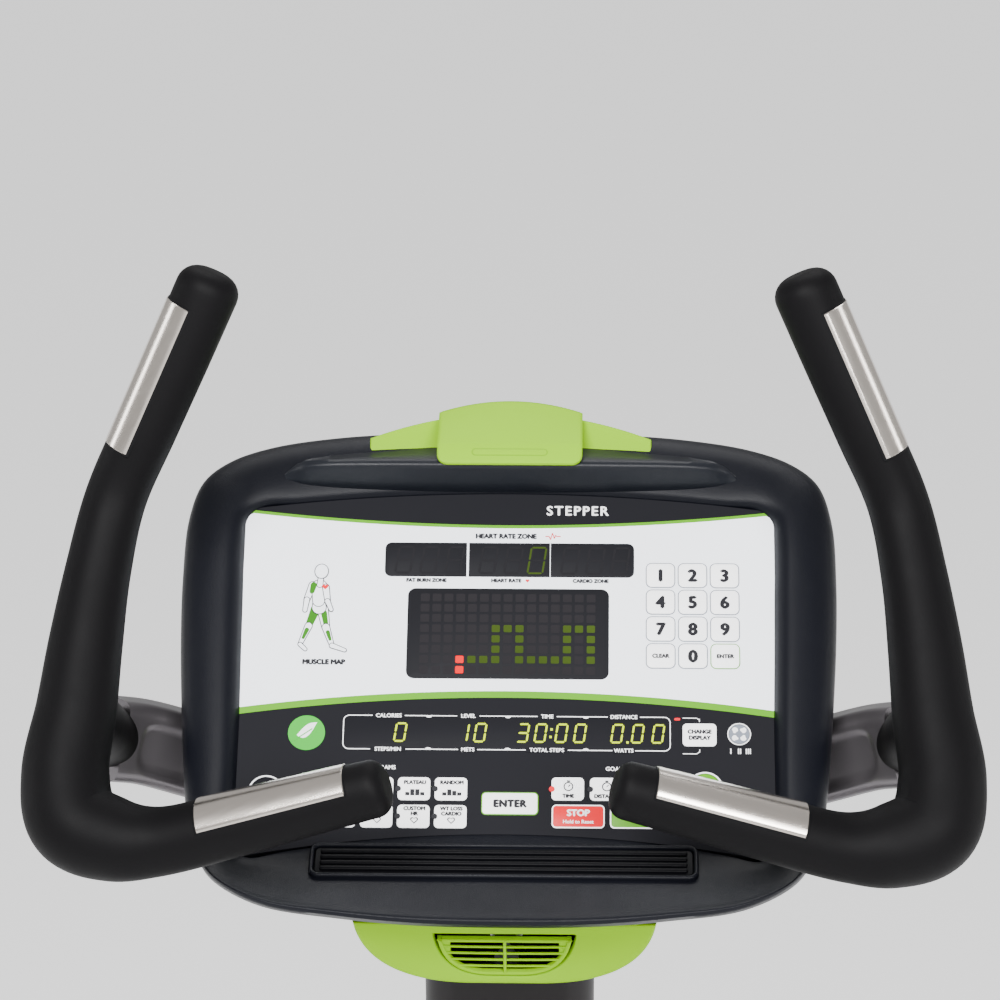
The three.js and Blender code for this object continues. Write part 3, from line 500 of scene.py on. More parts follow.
# How far out from the panel's edge, and how high, along each section.
SECTIONS = (
    ((0, -1.5), (0.0, 1.6), (0.05, 4.2), (0.16, 5.6), (0.4, 6.0), (0.66, 4.4), (0.86, -0.2), (0.965, -6),
     (1.0, -11), (0.985, -14.6), (0.95, -14.8)),
    ((0, -1.5), (0.0, 2.0), (0.07, 7.0), (0.2, 11.2), (0.36, 12.0), (0.64, 9.6), (0.87, 4.6), (0.97, -2.2),
     (1.0, -9.0), (0.985, -14.6), (0.95, -14.8)),
    ((0, -1.5), (0.0, 0.6), (0.05, 1.3), (0.25, 5.6), (0.46, 12.6), (0.7, 22.0), (0.87, 28.6), (0.965, 32.2),
     (1.0, 30.5), (0.985, 22.0), (0.3, -14.8)),
)


def shell_rings(per=7):
    """Closed loops round the console, one for each point of the section."""
    loops = []
    for k in range(len(SECTIONS[0])):
        half = []
        for inner, outer, share in STATIONS:
            out = sum(s * SECTIONS[i][k][0] for i, s in enumerate(share))
            high = sum(s * SECTIONS[i][k][1] for i, s in enumerate(share))
            half.append((inner[0] + (outer[0] - inner[0]) * out, inner[1] + (outer[1] - inner[1]) * out,
                         high))
        loop = half + [(-u, v, w) for u, v, w in half[-2:0:-1]]
        loops.append(spline(loop, per, closed=True))
    return loops


def front_shell():
    """The bezel; gives back its last loop, where the back shell starts."""
    loops = shell_rings()
    n = len(loops[0])
    columns = []
    for j in range(n):
        line = [loops[k][j] for k in range(len(loops))]
        smooth = [line[0]] + spline(line[1:9], 5) + line[9:]
        base = line[0]
        smooth.append((base[0], base[1], SHELL_SEAM))
        columns.append([console(*p[:3]) for p in smooth])
    shape = Shape().add(loft(columns, closed=True))
    look("console_front_shell", shape, ["shell"], "shell_plastic", sharp=50)
    return loops[-1]


def back_shell(seam):
    """The console's back. Its levels are a share of the way from seam to middle, and a depth."""
    centre = (0, 10)

    def drawn_in(levels):
        return [[console(u + (centre[0] - u) * share, v + (centre[1] - v) * share, w) for u, v, _ in seam]
                for share, w in levels]

    rings = drawn_in(((0.012, -15.4), (0.004, -17.5), (0.0, -20), (0.035, -33), (0.12, -50), (0.25, -64),
                      (0.38, -73), (0.46, -77), (0.5, -78)))
    look("console_back_shell", Shape().add(loft(rings)), ["shell"], "shell_plastic", sharp=50)
    bosses = Shape()
    for u, v in ((-88, 78), (88, 78), (-80, -32), (80, -32)):
        for r, a, b, mat in ((6.2, -78.6, -77.2, 0), (4.4, -79.2, -78.2, 1)):
            bosses.add(slab(disc(u, v, r, 28), a, b, lambda x, y, z: console(x, y, 2 * BACK_BOSS - z), 0.5),
                       mat)
    # Nine dark strips across the back: painted shadow standing for slots.
    for k in range(9):
        v = 20 + k * 6
        bosses.add(slab(rounded(-50, v - 1.4, 50, v + 1.4, 1.4), -78.5, -77.6, console), 2)
    piece("console_back_screws", bosses, ["shell", "steel", "painted_shadow"], "shell_plastic")
    # A dark ring of painted shadow in the gap between the two shells.
    rings = drawn_in(((0.02, -14.2), (0.02, -16.2), (0.06, -16.2), (0.06, -14.2)))
    piece("console_seam_shadow", Shape().add(loft(rings, closed=True)), ["painted_shadow"], "shell_plastic")


# ---- Panel ------------------------------------------------------------------------------------
PANEL_HALF = 174.8
# Heights out of the panel's plane: where keys and glass start, where print starts, and how high the print
# on the film, the keys, the words on keys and the marks on keys come.
SEAT, ROOT, FLAT, KEY_TOP, ON_KEY, KEY_MARK = 1.2, 1.3, 1.8, 2.02, 2.1, 2.26
GLASS = 1.75
SMALL_KEY = (20.8, 15.6)
# Where the keys start across and how far apart they are; for the number keys the same upwards too.
PROGRAM_KEYS, GOAL_KEYS, NUMBER_KEYS = (-105.8, 23.7), (40.2, 24.6), (99.9, 21.0, 72.8, 19.1)
SMALL = 2.4  # cap height of the smallest words


def header_line(u):
    return 107.2 + 10.2 * (u / 171) ** 2


def stripe_line(u):
    return -10.5 - 12.2 * (u / 171) ** 2


def panel_top(u):
    return 131.2 - 11.6 * (u / 171) ** 2


def panel_bottom(u):
    return -108.2 - 16.6 * (u / 171) ** 2


def fine_band(low, high, corner_low=0.0, corner_high=0.0):
    """The outline between two curves across the panel, with points gathered in its rounded corners."""
    half = PANEL_HALF
    us = []
    for k in range(9):
        us.append(-half + 12 * (1 - math.cos(math.pi / 2 * k / 8)))
    us += [-half + 12 + (2 * half - 24) * k / 32 for k in range(1, 32)]
    us += [-u for u in us[8::-1]]
    rows_low, rows_high = [], []
    for u in us:
        near = half - abs(u)
        lift = 0
        if corner_low and near < corner_low:
            lift = corner_low - math.sqrt(max(0, corner_low ** 2 - (corner_low - near) ** 2))
        rows_low.append((u, low(u) + lift))
        drop = 0
        if corner_high and near < corner_high:
            drop = corner_high - math.sqrt(max(0, corner_high ** 2 - (corner_high - near) ** 2))
        rows_high.append((u, high(u) - drop))
    return rows_low + rows_high[::-1]


def strip_between(low, high, w0, w1, corner_low=0.0, corner_high=0.0):
    """A thin layer between two curves, made of narrow quads so that it stays flat and clean."""
    outline = fine_band(low, high, corner_low, corner_high)
    n = len(outline) // 2
    lower, upper = outline[:n], outline[n:][::-1]
    verts, faces = [], []
    for w in (w1, w0):
        verts += [console(u, v, w) for u, v in lower] + [console(u, v, w) for u, v in upper]
    for i in range(n - 1):
        faces.append([i, i + 1, n + i + 1, n + i])
        faces.append([2 * n + i + 1, 2 * n + i, 3 * n + i, 3 * n + i + 1])
        faces.append([2 * n + i, 2 * n + i + 1, i + 1, i])
        faces.append([n + i, n + i + 1, 3 * n + i + 1, 3 * n + i])
    faces.append([0, n, 3 * n, 2 * n])
    faces.append([n - 1, 3 * n - 1, 4 * n - 1, 2 * n - 1])
    return verts, faces


DOTS = (-54.4, 7.77, 55.9, 7.3)  # the matrix: its left, pitch across, top and pitch down
SEGMENTS = {"0": "abcdef", "1": "bc", "3": "abcdg", "8": "abcdefg"}


def digit(shape, number, u, v, high, wide, thick, mat, w=2.0, lean=0.14):
    """A seven-segment numeral with its middle at u, v."""
    h, b = high / 2, wide / 2
    g = thick * 0.16
    bars = {
        "a": ((-b, h), (b, h)), "b": ((b, h), (b, 0)), "c": ((b, 0), (b, -h)), "d": ((-b, -h), (b, -h)),
        "e": ((-b, 0), (-b, -h)), "f": ((-b, h), (-b, 0)), "g": ((-b, 0), (b, 0)),
    }
    for name in SEGMENTS[number]:
        (x0, y0), (x1, y1) = bars[name]
        d = Vector((x1 - x0, y1 - y0)).normalized()
        n = Vector((-d.y, d.x)) * thick / 2
        a = Vector((x0, y0)) + d * (thick * 0.5 + g)
        c = Vector((x1, y1)) - d * (thick * 0.5 + g)
        tip = d * thick * 0.42
        pts = [a - tip, a + n, c + n, c + tip, c - n, a - n]
        outline = [(u + p.x + p.y * lean, v + p.y) for p in pts]
        shape.add(slab(outline, w - 0.3, w, console), mat)


def key(shape, u, v, wide, high, mat_face, mat_edge=None, r=3.2, edge=0.9):
    """A key's face, inside an edge of another colour if one is given."""
    if mat_edge is not None:
        shape.add(slab(tile(u, v, wide / 2, high / 2, r), SEAT, 1.86, console, 0.12, 2), mat_edge)
        wide, high, r = wide - 2 * edge, high - 2 * edge, r - edge
    shape.add(slab(tile(u, v, wide / 2, high / 2, r), SEAT, KEY_TOP, console, 0.18, 2), mat_face)


def panel():
    base = Shape()
    base.add(strip_between(panel_bottom, panel_top, -0.8, 1.4, 11, 11))
    base.add(strip_between(stripe_line, header_line, 1.2, 1.55, 0, 9), 1)
    base.add(strip_between(lambda u: header_line(u) - 1.0, lambda u: header_line(u) + 1.2, 1.2, 1.62), 2)
    base.add(strip_between(lambda u: stripe_line(u) - 4.0, lambda u: stripe_line(u) + 0.6, 1.2, 1.62), 2)
    look("control_overlay", base, ["panel", "white", "line_green"], "overlay_film")

    glass = Shape()
    for u0, u1, ends in ((-81.6, -27.7, (1, 0)), (-26.3, 27.1, (0, 0)), (27.6, 82.6, (0, 1))):
        left, right = 4.2 if ends[0] else 0.3, 4.2 if ends[1] else 0.3
        outline = []
        for cx, cy, r, a0 in ((u1 - right, 71 + right, right, -90), (u1 - right, 95.5 - right, right, 0),
                              (u0 + left, 95.5 - left, left, 90), (u0 + left, 71 + left, left, 180)):
            outline += [polar(cx, cy, r, math.radians(a0 + 18 * k)) for k in range(6)]
        glass.add(slab(outline, SEAT, GLASS, console, 0.1, 2))
    faint = Shape()
    for u0 in (-81.6, -26.3, 27.6):
        for k in range(3):
            digit(faint, "8", u0 + 13 + k * 16.5, 82.9, 18.5, 9.8, 1.5, 0, 1.85)
    digit(faint, "0", 18.6, 82.9, 18.5, 9.8, 1.3, 1, 1.95)
    look("zone_window", glass, ["smoke"], "window_plastic")
    piece("zone_numerals", faint, ["faint", "lit_dim"], "window_plastic")

    matrix = Shape().add(slab(rounded(-65.8, -1.4, 66.2, 62.6, 5.2, 6), SEAT, GLASS, console, 0.1, 2))
    look("matrix_window", matrix, ["smoke"], "window_plastic")
    dots = Shape()
    lit_columns = {3: {6, 7, 8, 12, 13, 14}, 2: {6, 8, 12, 14}, 1: {6, 8, 12, 14},
                   0: {4, 5, 6, 8, 9, 10, 11, 12, 14}}
    red = {(3, 0), (3, -1)}
    for row in range(8):
        for col in range(15):
            u, v = DOTS[0] + DOTS[1] * col, DOTS[2] - DOTS[3] * row
            level = 6 - row
            mat = 2 if (col, level) in red else int(col in lit_columns.get(level, ()))
            size, top = (2.7, 1.95) if mat else (2.95, 1.84)
            dots.add(slab(tile(u, v, size, size * 0.95, 0.8, 2), 1.5, top, console), mat)
    piece("matrix_dots", dots, ["cell", "lit_dim", "lit_red"], "window_plastic")

    readout = Shape().add(slab(rounded(-105, -50.6, 105.8, -27.4, 3.5, 6), SEAT, 1.62, console, 0.1, 2))
    look("readout_window", readout, ["panel"], "window_plastic")
    bright = Shape()
    for number, u in (("0", -68.2), ("1", -27.8), ("0", -16.6), ("3", 11.0), ("0", 22.4), ("0", 35.8),
                      ("0", 47.8),
                      ("0", 71.8), ("0", 85.0), ("0", 98.2)):
        digit(bright, number, u, -39.0, 12.2, 6.4, 1.25, 0)
    for u, v in ((29.4, -36.4), (28.8, -41.6), (78.4, -45.0)):
        bright.add(slab(tile(u, v, 0.8, 0.8, 0.3, 2), 1.5, 2.0, console))
    piece("readout_numerals", bright, ["lit"], "window_plastic")
    panel_print()


def ring_outline(shape, outer, inner, w, mat):
    n = len(outer)
    verts = [console(*p, w) for p in outer] + [console(*p, w) for p in inner]
    verts += [console(*p, w - 0.35) for p in outer] + [console(*p, w - 0.35) for p in inner]
    faces = []
    for i in range(n):
        j = (i + 1) % n
        faces += [[i, j, n + j, n + i], [2 * n + j, 2 * n + i, 3 * n + i, 3 * n + j],
                  [i, 2 * n + i, 2 * n + j, j], [n + j, 3 * n + j, 3 * n + i, n + i]]
    shape.add((verts, faces), mat)


def bar_line(shape, u0, v0, u1, v1, thick, w, mat):
    d = Vector((u1 - u0, v1 - v0)).normalized()
    n = Vector((-d.y, d.x)) * thick / 2
    pts = [(u0 - n.x, v0 - n.y), (u1 - n.x, v1 - n.y), (u1 + n.x, v1 + n.y), (u0 + n.x, v0 + n.y)]
    shape.add(slab(pts, w - 0.4, w, console), mat)


def capsule(u0, v0, u1, v1, r0, r1, n=9):
    a = math.atan2(v1 - v0, u1 - u0)
    out = [polar(u1, v1, r1, a - math.pi / 2 + math.pi * k / n) for k in range(n + 1)]
    return out + [polar(u0, v0, r0, a + math.pi / 2 + math.pi * k / n) for k in range(n + 1)]


def heart(u, v, size):
    out = []
    for k in range(28):
        t = 2 * math.pi * k / 28
        x = 16 * math.sin(t) ** 3
        y = 13 * math.cos(t) - 5 * math.cos(2 * t) - 2 * math.cos(3 * t) - math.cos(4 * t)
        out.append((u - x * size / 34, v + y * size / 34))
    return out


def panel_print():
    keys = Shape()
    ink = Shape()
    order = ["key", "ink", "line_green", "red", "letter", "grey", "leaf", "white", "panel", "disc"]
    KEY, INK, GREEN, RED, LETTER, GREY, LEAF, WHITE, PANEL, DISC = range(10)

    def mark(outline, top, mat, low=ROOT):
        ink.add(slab(outline, low, top, console), mat)

    def say(*what, spread=1.0):
        text(ink, *what, spread)

    def push(u, v, lamp_v, lamp=INK):
        """A small key with a lamp at its left."""
        key(keys, u, v, *SMALL_KEY, KEY, None, 2.8)
        mark(disc(u - 10.2, lamp_v, 1.9, 20), KEY_MARK, lamp)

    # Header words and the words round the upper displays.
    say("STEPPER", 45, 119.2, 6.6, LETTER, 1.75, 0.12, spread=1.22)
    say("HEART RATE ZONE", -2, 100.4, 3.2, INK, 1.85, 0.14)
    pulse = [(24, 100.4), (26.4, 100.4), (27.4, 98.2), (28.6, 102.8), (29.8, 99), (30.6, 101.4),
             (31.4, 100.4), (34, 100.4)]
    for (u0, v0), (u1, v1) in zip(pulse, pulse[1:]):
        bar_line(ink, u0, v0, u1, v1, 0.55, 1.85, RED)
    for words, u in (("FAT BURN ZONE", -54), ("HEART RATE", -1.5), ("CARDIO ZONE", 54)):
        say(words, u, 68.4, SMALL, INK, 1.85, 0.11)
    mark(heart(12.5, 68.4, 2.6), 1.85, RED, 1.4)

    # Number keys.
    labels = [["1", "2", "3"], ["4", "5", "6"], ["7", "8", "9"], ["CLEAR", "0", "ENTER"]]
    for row, names in enumerate(labels):
        for col, name in enumerate(names):
            u, v = NUMBER_KEYS[0] + NUMBER_KEYS[1] * col, NUMBER_KEYS[2] - NUMBER_KEYS[3] * row
            outline = GREEN if name == "ENTER" else GREY
            key(keys, u, v, 19.4, 17.9, KEY, outline, 4.0, 0.62)
            cap, bold = (2.6, 0.12) if len(name) > 1 else (8.2, 0.33)
            say(name, u, v, cap, INK, ON_KEY, bold)

    # A walking figure, in plain rounded limbs.
    head = (-123.2, 74.1)
    limbs = [
        ((-128.8, 64.4), (-132.2, 53.9), 2.2, 1.8, WHITE), ((-132.2, 53.9), (-133.2, 46.3), 1.6, 1.2, WHITE),
        ((-126.0, 47.5), (-130.2, 35.7), 3.3, 2.3, LEAF), ((-130.4, 35.1), (-135.2, 22.9), 2.2, 1.2, WHITE),
        ((-135.5, 22.0), (-132.0, 18.6), 1.2, 1.0, WHITE), ((-131.4, 32.3), (-133.6, 26.7), 1.5, 1.0, LEAF),
        ((-121.6, 47.5), (-119.2, 34.9), 3.4, 2.4, WHITE), ((-120.6, 44.4), (-119.0, 35.9), 2.0, 1.6, LEAF),
        ((-119.0, 34.2), (-114.8, 21.8), 2.3, 1.3, WHITE), ((-117.6, 30.7), (-116.0, 25.6), 1.4, 1.0, LEAF),
        ((-114.6, 21.2), (-106.2, 18.0), 1.5, 1.0, WHITE), ((-123.9, 48.2), (-124.2, 52.2), 4.4, 3.7, WHITE),
        ((-124.4, 52.8), (-124.2, 62.9), 3.7, 4.9, WHITE), ((-124.0, 64.4), (-123.4, 70.2), 1.7, 1.5, WHITE),
        ((-128.0, 64.2), (-129.0, 59.6), 2.1, 1.6, LEAF), ((-120.0, 62.7), (-118.6, 53.2), 2.0, 1.6, WHITE),
        ((-118.6, 52.8), (-116.0, 46.7), 1.5, 1.1, WHITE),
    ]
    for i, (a, b, r0, r1, mat) in enumerate(limbs):
        w = 1.66 + 0.025 * i
        if mat == WHITE:
            mark(capsule(*a, *b, r0 + 0.55, r1 + 0.55), w, INK)
        mark(capsule(*a, *b, r0, r1), w + 0.015, mat)
    oval = [(head[0] + (x - head[0]) * 0.86, y) for x, y in disc(*head, 4.9)]
    mark(inset(oval, -0.55), 2.11, INK)
    mark(oval, 2.13, WHITE)
    mark(heart(-120.4, 63.0, 4.4), 2.16, RED, 1.4)
    say("MUSCLE MAP", -119.6, 9.8, 3.3, INK, 1.85, 0.2)

    # Readout frame with its words and bumps.
    outer, inner = rounded(-105.4, -50.9, 106.2, -27.1, 4, 6), rounded(-104.8, -50.3, 105.6, -27.7, 3.4, 6)
    ring_outline(ink, outer, inner, 1.72, LETTER)
    for v, names in ((-27.4, (("CALORIES", -76), ("LEVEL", -24.5), ("TIME", 26.5), ("DISTANCE", 76))),
                     (-50.6, (("STEPS/MIN", -76), ("METS", -24.5), ("TOTAL STEPS", 26.5), ("WATTS", 76)))):
        for words, u in names:
            half = len(words) * 1.05 + 2
            mark(tile(u, v, half, 1.6, 0.4, 2), 1.76, PANEL)
            say(words, u, v, 2.6, LETTER, FLAT, 0.055)
        for u in (-50, 1.2, 51.5):
            sign = -1 if v > -40 else 1
            pts = [(u + 2.1 * math.cos(math.pi * k / 12), v + sign * 1.3 * math.sin(math.pi * k / 12))
                   for k in range(13)]
            mark(pts, FLAT, LETTER)

    # Right of the readout: the display key with its bracket, a lamp, and the fan mark.
    u = 124.8
    for v0, v1 in ((-27.8, -31.2), (-52.4, -48.8)):
        mid = (v0 + v1) / 2
        for line in ((114.0, v0, 123.0, v0), (u, mid - 0.9, u, mid + 1.2),
                     (123.0, v0, u, v0 + (v1 - v0) * 0.4)):
            bar_line(ink, *line, 0.5, 1.7, LETTER)
    key(keys, u, -39.4, 21.8, 15.6, KEY, None, 2.8)
    for words, v in (("CHANGE", -37.2), ("DISPLAY", -41.4)):
        say(words, u, v, 2.6, INK, ON_KEY, 0.12)
    mark(capsule(109.4, -28.6, 111.6, -28.6, 0.9, 0.9), FLAT, RED)
    u, v = 150.3, -38.6
    ring_outline(ink, disc(u, v, 7.6), disc(u, v, 6.9), 1.72, LETTER)
    mark(disc(u, v, 6.6), 1.7, GREY)
    for k in range(4):
        a = math.pi / 4 + k * math.pi / 2
        cu, cv = polar(u, v, 3.2, a)
        blade = capsule(cu - math.sin(a), cv + math.cos(a), *polar(cu, cv, 0.6, a), 1.0, 2.0)
        mark(blade, FLAT, LETTER)
    for k, count in enumerate((1, 2, 3)):
        for i in range(count):
            x = 144.8 + k * 5.0 + i * 1.25
            bar_line(ink, x, -52.2, x, -48.6, 0.75, 1.7, LETTER)

    # Green mark on the left: a plain disc with a leaf.
    mark(disc(-128.9, -39.8, 12.0, 56), 1.72, DISC, 1.2)
    leaf = [(-135.2 + 13 * k / 16, -41.5 + 9 * (k / 16) ** 2 + 5.0 * math.sin(math.pi * k / 16))
            for k in range(17)]
    leaf += [(-122.2 - 13 * k / 16, -32.5 - 9 * (1 - (1 - k / 16) ** 2) - 3.4 * math.sin(math.pi * k / 16))
             for k in range(1, 16)]
    mark(leaf, 1.82, LETTER, 1.4)
    bar_line(ink, -136.8, -45.2, -125.2, -37.0, 0.7, 1.86, DISC)

    # Programme and goal keys.
    say("PROGRAMS", -80.5, -63.2, 2.7, LETTER, FLAT, 0.06)
    say("GOALS", 70.5, -63.2, 2.7, LETTER, FLAT, 0.06)
    programs = [("MANUAL", None), ("HILL", (2, 3, 4, 3)), ("PLATEAU", (1, 3, 3, 1)), ("RANDOM", (1, 3, 2, 1))]
    for i, (name, bars) in enumerate(programs):
        u = PROGRAM_KEYS[0] + PROGRAM_KEYS[1] * i
        push(u, -77.8, -77.8)
        say(name, u + 0.6, -73.4, SMALL, INK, ON_KEY, 0.11)
        for k, tall in enumerate(bars or ()):
            x = u - 4.2 + k * 3.2
            mark(rounded(x - 1.35, -82.4, x + 1.35, -81.2 + tall, 0.2, 1), 2.2, INK)
    for i, (first, second) in enumerate((("INTERVAL", ""), ("FIT", "TEST"), ("CUSTOM", "HR"),
                                         ("WT LOSS", "CARDIO"))):
        u = PROGRAM_KEYS[0] + PROGRAM_KEYS[1] * i
        push(u, -96.6, -96.6)
        say(first, u + 0.6, -91.2, SMALL, INK, ON_KEY, 0.11)
        if second:
            say(second, u + 0.6, -94.7, SMALL, INK, ON_KEY, 0.11)
        ring_outline(ink, heart(u + 0.6, -99.2, 5.4), heart(u + 0.6, -99.2, 3.8), KEY_MARK, INK)
    key(keys, 3.2, -87.4, 36.6, 15.6, KEY, GREEN, 3.0, 0.7)
    say("ENTER", 3.2, -87.4, 4.6, INK, 2.12, 0.3, spread=1.1)
    for i, name in enumerate(("TIME", "DISTANCE", "CALORIES")):
        u = GOAL_KEYS[0] + GOAL_KEYS[1] * i
        push(u, -77.2, -77.4, RED if i == 0 else INK)
        ring_outline(ink, disc(u + 0.4, -75.6, 3.1), disc(u + 0.4, -75.6, 2.4), KEY_MARK, INK)
        bar_line(ink, u + 0.4, -75.6, u + 1.6, -74.4, 0.6, KEY_MARK, INK)
        bar_line(ink, u - 0.6, -71.9, u + 1.4, -71.9, 0.9, KEY_MARK, INK)
        say(name, u + 0.4, -82.0, SMALL, INK, ON_KEY, 0.11)
    key(keys, 47.0, -95.8, 33.8, 15.8, RED, KEY, 2.9, 0.8)
    say("STOP", 47.0, -93.4, 4.2, LETTER, 2.12, 0.16)
    say("Hold to Reset", 47.0, -99.4, SMALL, LETTER, 2.12, 0.05)
    key(keys, 84.2, -95.8, 33.8, 15.8, GREEN, KEY, 2.9, 0.8)
    say("START", 84.2, -95.8, 4.2, LETTER, 2.12, 0.22)
    for u, v, fill in ((-153.5, -81.0, PANEL), (128.2, -76.4, GREEN)):
        ring_outline(ink, disc(u, v, 11.6, 48), disc(u, v, 10.6, 48), FLAT, LETTER)
        ink.add(slab(disc(u, v, 10.2, 48), SEAT, 1.9, console, 0.15, 2), fill)
        bar_line(ink, u - 4.5, v, u + 4.5, v, 1.8, 2.0, LETTER)
        if fill == GREEN:  # the plus
            bar_line(ink, u, v - 4.5, u, v + 4.5, 1.8, 2.01, LETTER)
    piece("panel_keys", keys, order, "overlay_film")
    piece("panel_print", ink, order, "overlay_film")


# ---- Rack, ledge mat and clip -----------------------------------------------------------------
def rack():
    rows = [
        (0, (132.5, 4.5), (141.5, 24.4), (170, 1)),
        (50, (132.6, 4.5), (141.5, 24.4), (168.5, 1.5)),
        (104, (133.3, 4.5), (141.6, 23.6), (162, 2.5)),
        (124, (134.4, 4.6), (141.9, 21.6), (156, 6)),
        (136, (135.8, 4.8), (142.6, 17.4), (151.5, 10)),
        (144, (137.6, 5.0), (142.9, 11.0), (147.0, 8.6)),
        (150, (138.8, 5.2), (141.4, 6.6), (143.2, 6.4)),
    ]
    flat = [(u, *a, *b, *c) for u, a, b, c in [(-r[0], *r[1:]) for r in rows[:0:-1]] + rows]
    rings = []
    for u, fv, fw, cv, cw, bv, bw in spline(flat, 6):
        k = min(1.0, (cw - fw) / 8)
        section = [(fv, -2), (fv - 0.6 * k, fw), (fv + (cv - fv) * 0.25, fw + (cw - fw) * 0.42)]
        section += [(cv - 1.6 * k, cw - 2.6 * k), (cv - 0.4 * k, cw - 0.6 * k), (cv + 1.4 * k, cw)]
        section += [(cv + 5 * k, cw - 1.2 * k), (cv + (bv - cv) * 0.6, cw + (bw - cw) * 0.62 - 1.5 * k),
                    (bv, bw), (bv + 0.5, -2)]
        rings.append([console(u, v, w) for v, w in section])
    look("rack_ledge", Shape().add(loft(rings)), ["ledge"], "shell_plastic", sharp=48)

    def wing_top(u):
        return 190.5 - 18.5 * (u / 92) ** 2

    outline = [(-94, 160), (94, 160)] + [(94 - 188 * k / 40, wing_top(94 - 188 * k / 40)) for k in range(41)]
    look("rack_backrest", Shape().add(slab(outline, -6, 4.5, console, 1.8, 4)), ["green"], "green_plastic")

    rings = []
    half, r = 48, 7.0
    for k in range(49):
        a = math.pi * k / 48
        u = -half * math.cos(a)
        near = half - abs(u)
        nip = r - math.sqrt(max(0, r * r - max(0, r - near) ** 2))
        arch = 8.6 * (1 - (u / half) ** 2)
        drop = 1.4 * max(0, 1 - near / 1.4)
        top = 188.6 + arch
        section = [
            (141.4 + nip, 24.9), (140.9 + nip, 26.6), (141.6 + nip, 28.0 - drop), (143.4 + nip, 28.5 - drop),
            (156.2, 26.0 - drop), (157.8, 25.4 - drop), (top - 2.4, 10.6 - drop), (top - 0.6, 9.0 - drop),
            (top, 7.4), (top - 0.8, 5.6), (top - 4, 4.9), (164, 17.4), (158, 22),
        ]
        rings.append([console(u, v, w) for v, w in section])
    look("media_clip", Shape().add(loft(rings)), ["green"], "green_plastic", body="clip", sharp=40)
    slope = math.atan2(28.5 - 26.0, 156.2 - 143.4)

    def on_clip(u, s, h):
        v = 143.4 + s * math.cos(slope)
        return console(u, v, 28.5 - s * math.sin(slope) + h)

    recess = Shape()
    # The outer rim in the darker lime is painted shade round the thumb recess.
    recess.add(slab(rounded(-25.2, 3.6, 25.2, 9.6, 2.9, 6), -0.4, 0.12, on_clip, 0.1, 2))
    recess.add(slab(rounded(-24.4, 4.4, 24.4, 8.8, 2.1, 6), -0.4, 0.2, on_clip, 0.06, 2), 1)
    piece("media_clip_thumb_rest", recess, ["green_painted_shade", "green"], "green_plastic", body="clip")


LEDGE = {"v": -128.8, "w": 8.6, "slope": math.radians(26), "half": 120, "depth": 11.6}


def on_ledge(u, s, h):
    """The lip's own slope: s runs up towards the panel, h stands out of it."""
    a = LEDGE["slope"]
    return console(u, LEDGE["v"] + s * math.cos(a) + h * math.sin(a),
                   LEDGE["w"] - s * math.sin(a) + h * math.cos(a))


def ledge_mat():
    half, d = LEDGE["half"], LEDGE["depth"]
    mat = Shape().add(slab(rounded(-half, -d, half, d, 3.5, 5), -4, -0.2, on_ledge, 0.8, 3))
    for k in range(4):
        s = -7.6 + 5.0 * k
        mat.add(slab(rounded(-half + 3.5, s - 1.7, half - 3.5, s + 1.7, 1.6, 4), -1, 1.6, on_ledge, 1.2, 4))
    look("ledge_mat", mat, ["rubber"], "black_rubber")
    rim = Shape()
    steps = []
    for k in range(13):
        a = math.pi * k / 12
        steps.append((3.1 * (1 - math.cos(a)) / 2, 1.9 * math.sin(a)))
    rings = []
    for out, high in [(0, -4)] + steps + [(3.1, -4)]:
        outline = rounded(-half - 0.4 - out, -d - 0.4 - out, half + 0.4 + out, d + 0.4 + out, 3.9 + out, 6)
        rings.append([on_ledge(x, y, high - 0.3) for x, y in outline])
    rim.add(loft(rings, closed=True))
    piece("ledge_mat_rim", rim, ["shell"], "shell_plastic", sharp=60)


# ---- Handlebars -------------------------------------------------------------------------------
BAR = [
    (188.0, 131.5, 1655, 20.4), (206, 128.7, 1615, 20.2), (227, 125.3, 1569, 19.9), (248, 122, 1522, 19.7),
    (258, 102, 1479, 21), (264, 79, 1438, 23.5), (268, 58, 1402, 25.5), (273, 36, 1366.5, 27.5),
    (266, 20, 1341.5, 29), (241, 12, 1332.5, 26.5), (213, 7, 1333, 21.8), (169, 1, 1345.7, 20.4),
    (124, -5, 1360.3, 19.2), (78, -11, 1375, 18),
]
ARM = [(259, 146, 1353), (240, 160, 1346), (200, 179, 1328), (140, 207, 1303), (56, 213, 1284)]
BAR_JOINT = (266, 62, 1395)


def sided(rows, side):
    return [(side * r[0], *r[1:]) for r in rows]


def plate(start, end, radii, facing, half_angle, low, high, trim, steps=26):
    """A curved plate round a line, its corners eased. trim shortens it all round."""
    a, b = Vector(start), Vector(end)
    along = (b - a).normalized()
    a, b = a + along * trim, b - along * trim
    centre = (facing - along * facing.dot(along)).normalized()
    cross = along.cross(centre)
    length = (b - a).length

    def at(s, ang, lift):
        r = radii[0] + (radii[1] - radii[0]) * s / length + lift
        return a + along * s + centre * (r * math.cos(ang)) + cross * (r * math.sin(ang))

    reach = math.radians(half_angle) - trim / radii[0]
    edge = 0.5
    spots = [0, edge] + [length * k / steps for k in range(1, steps)] + [length - edge, length]
    sections = []
    for i, s in enumerate(spots):
        top = high - edge if i in (0, len(spots) - 1) else high
        outer = [at(s, reach * (2 * k / 24 - 1), top - (edge if k in (0, 24) else 0)) for k in range(25)]
        inner = [at(s, reach * (1 - 2 * k / 24), low) for k in range(25)]
        sections.append(outer + inner)
    return loft(sections)


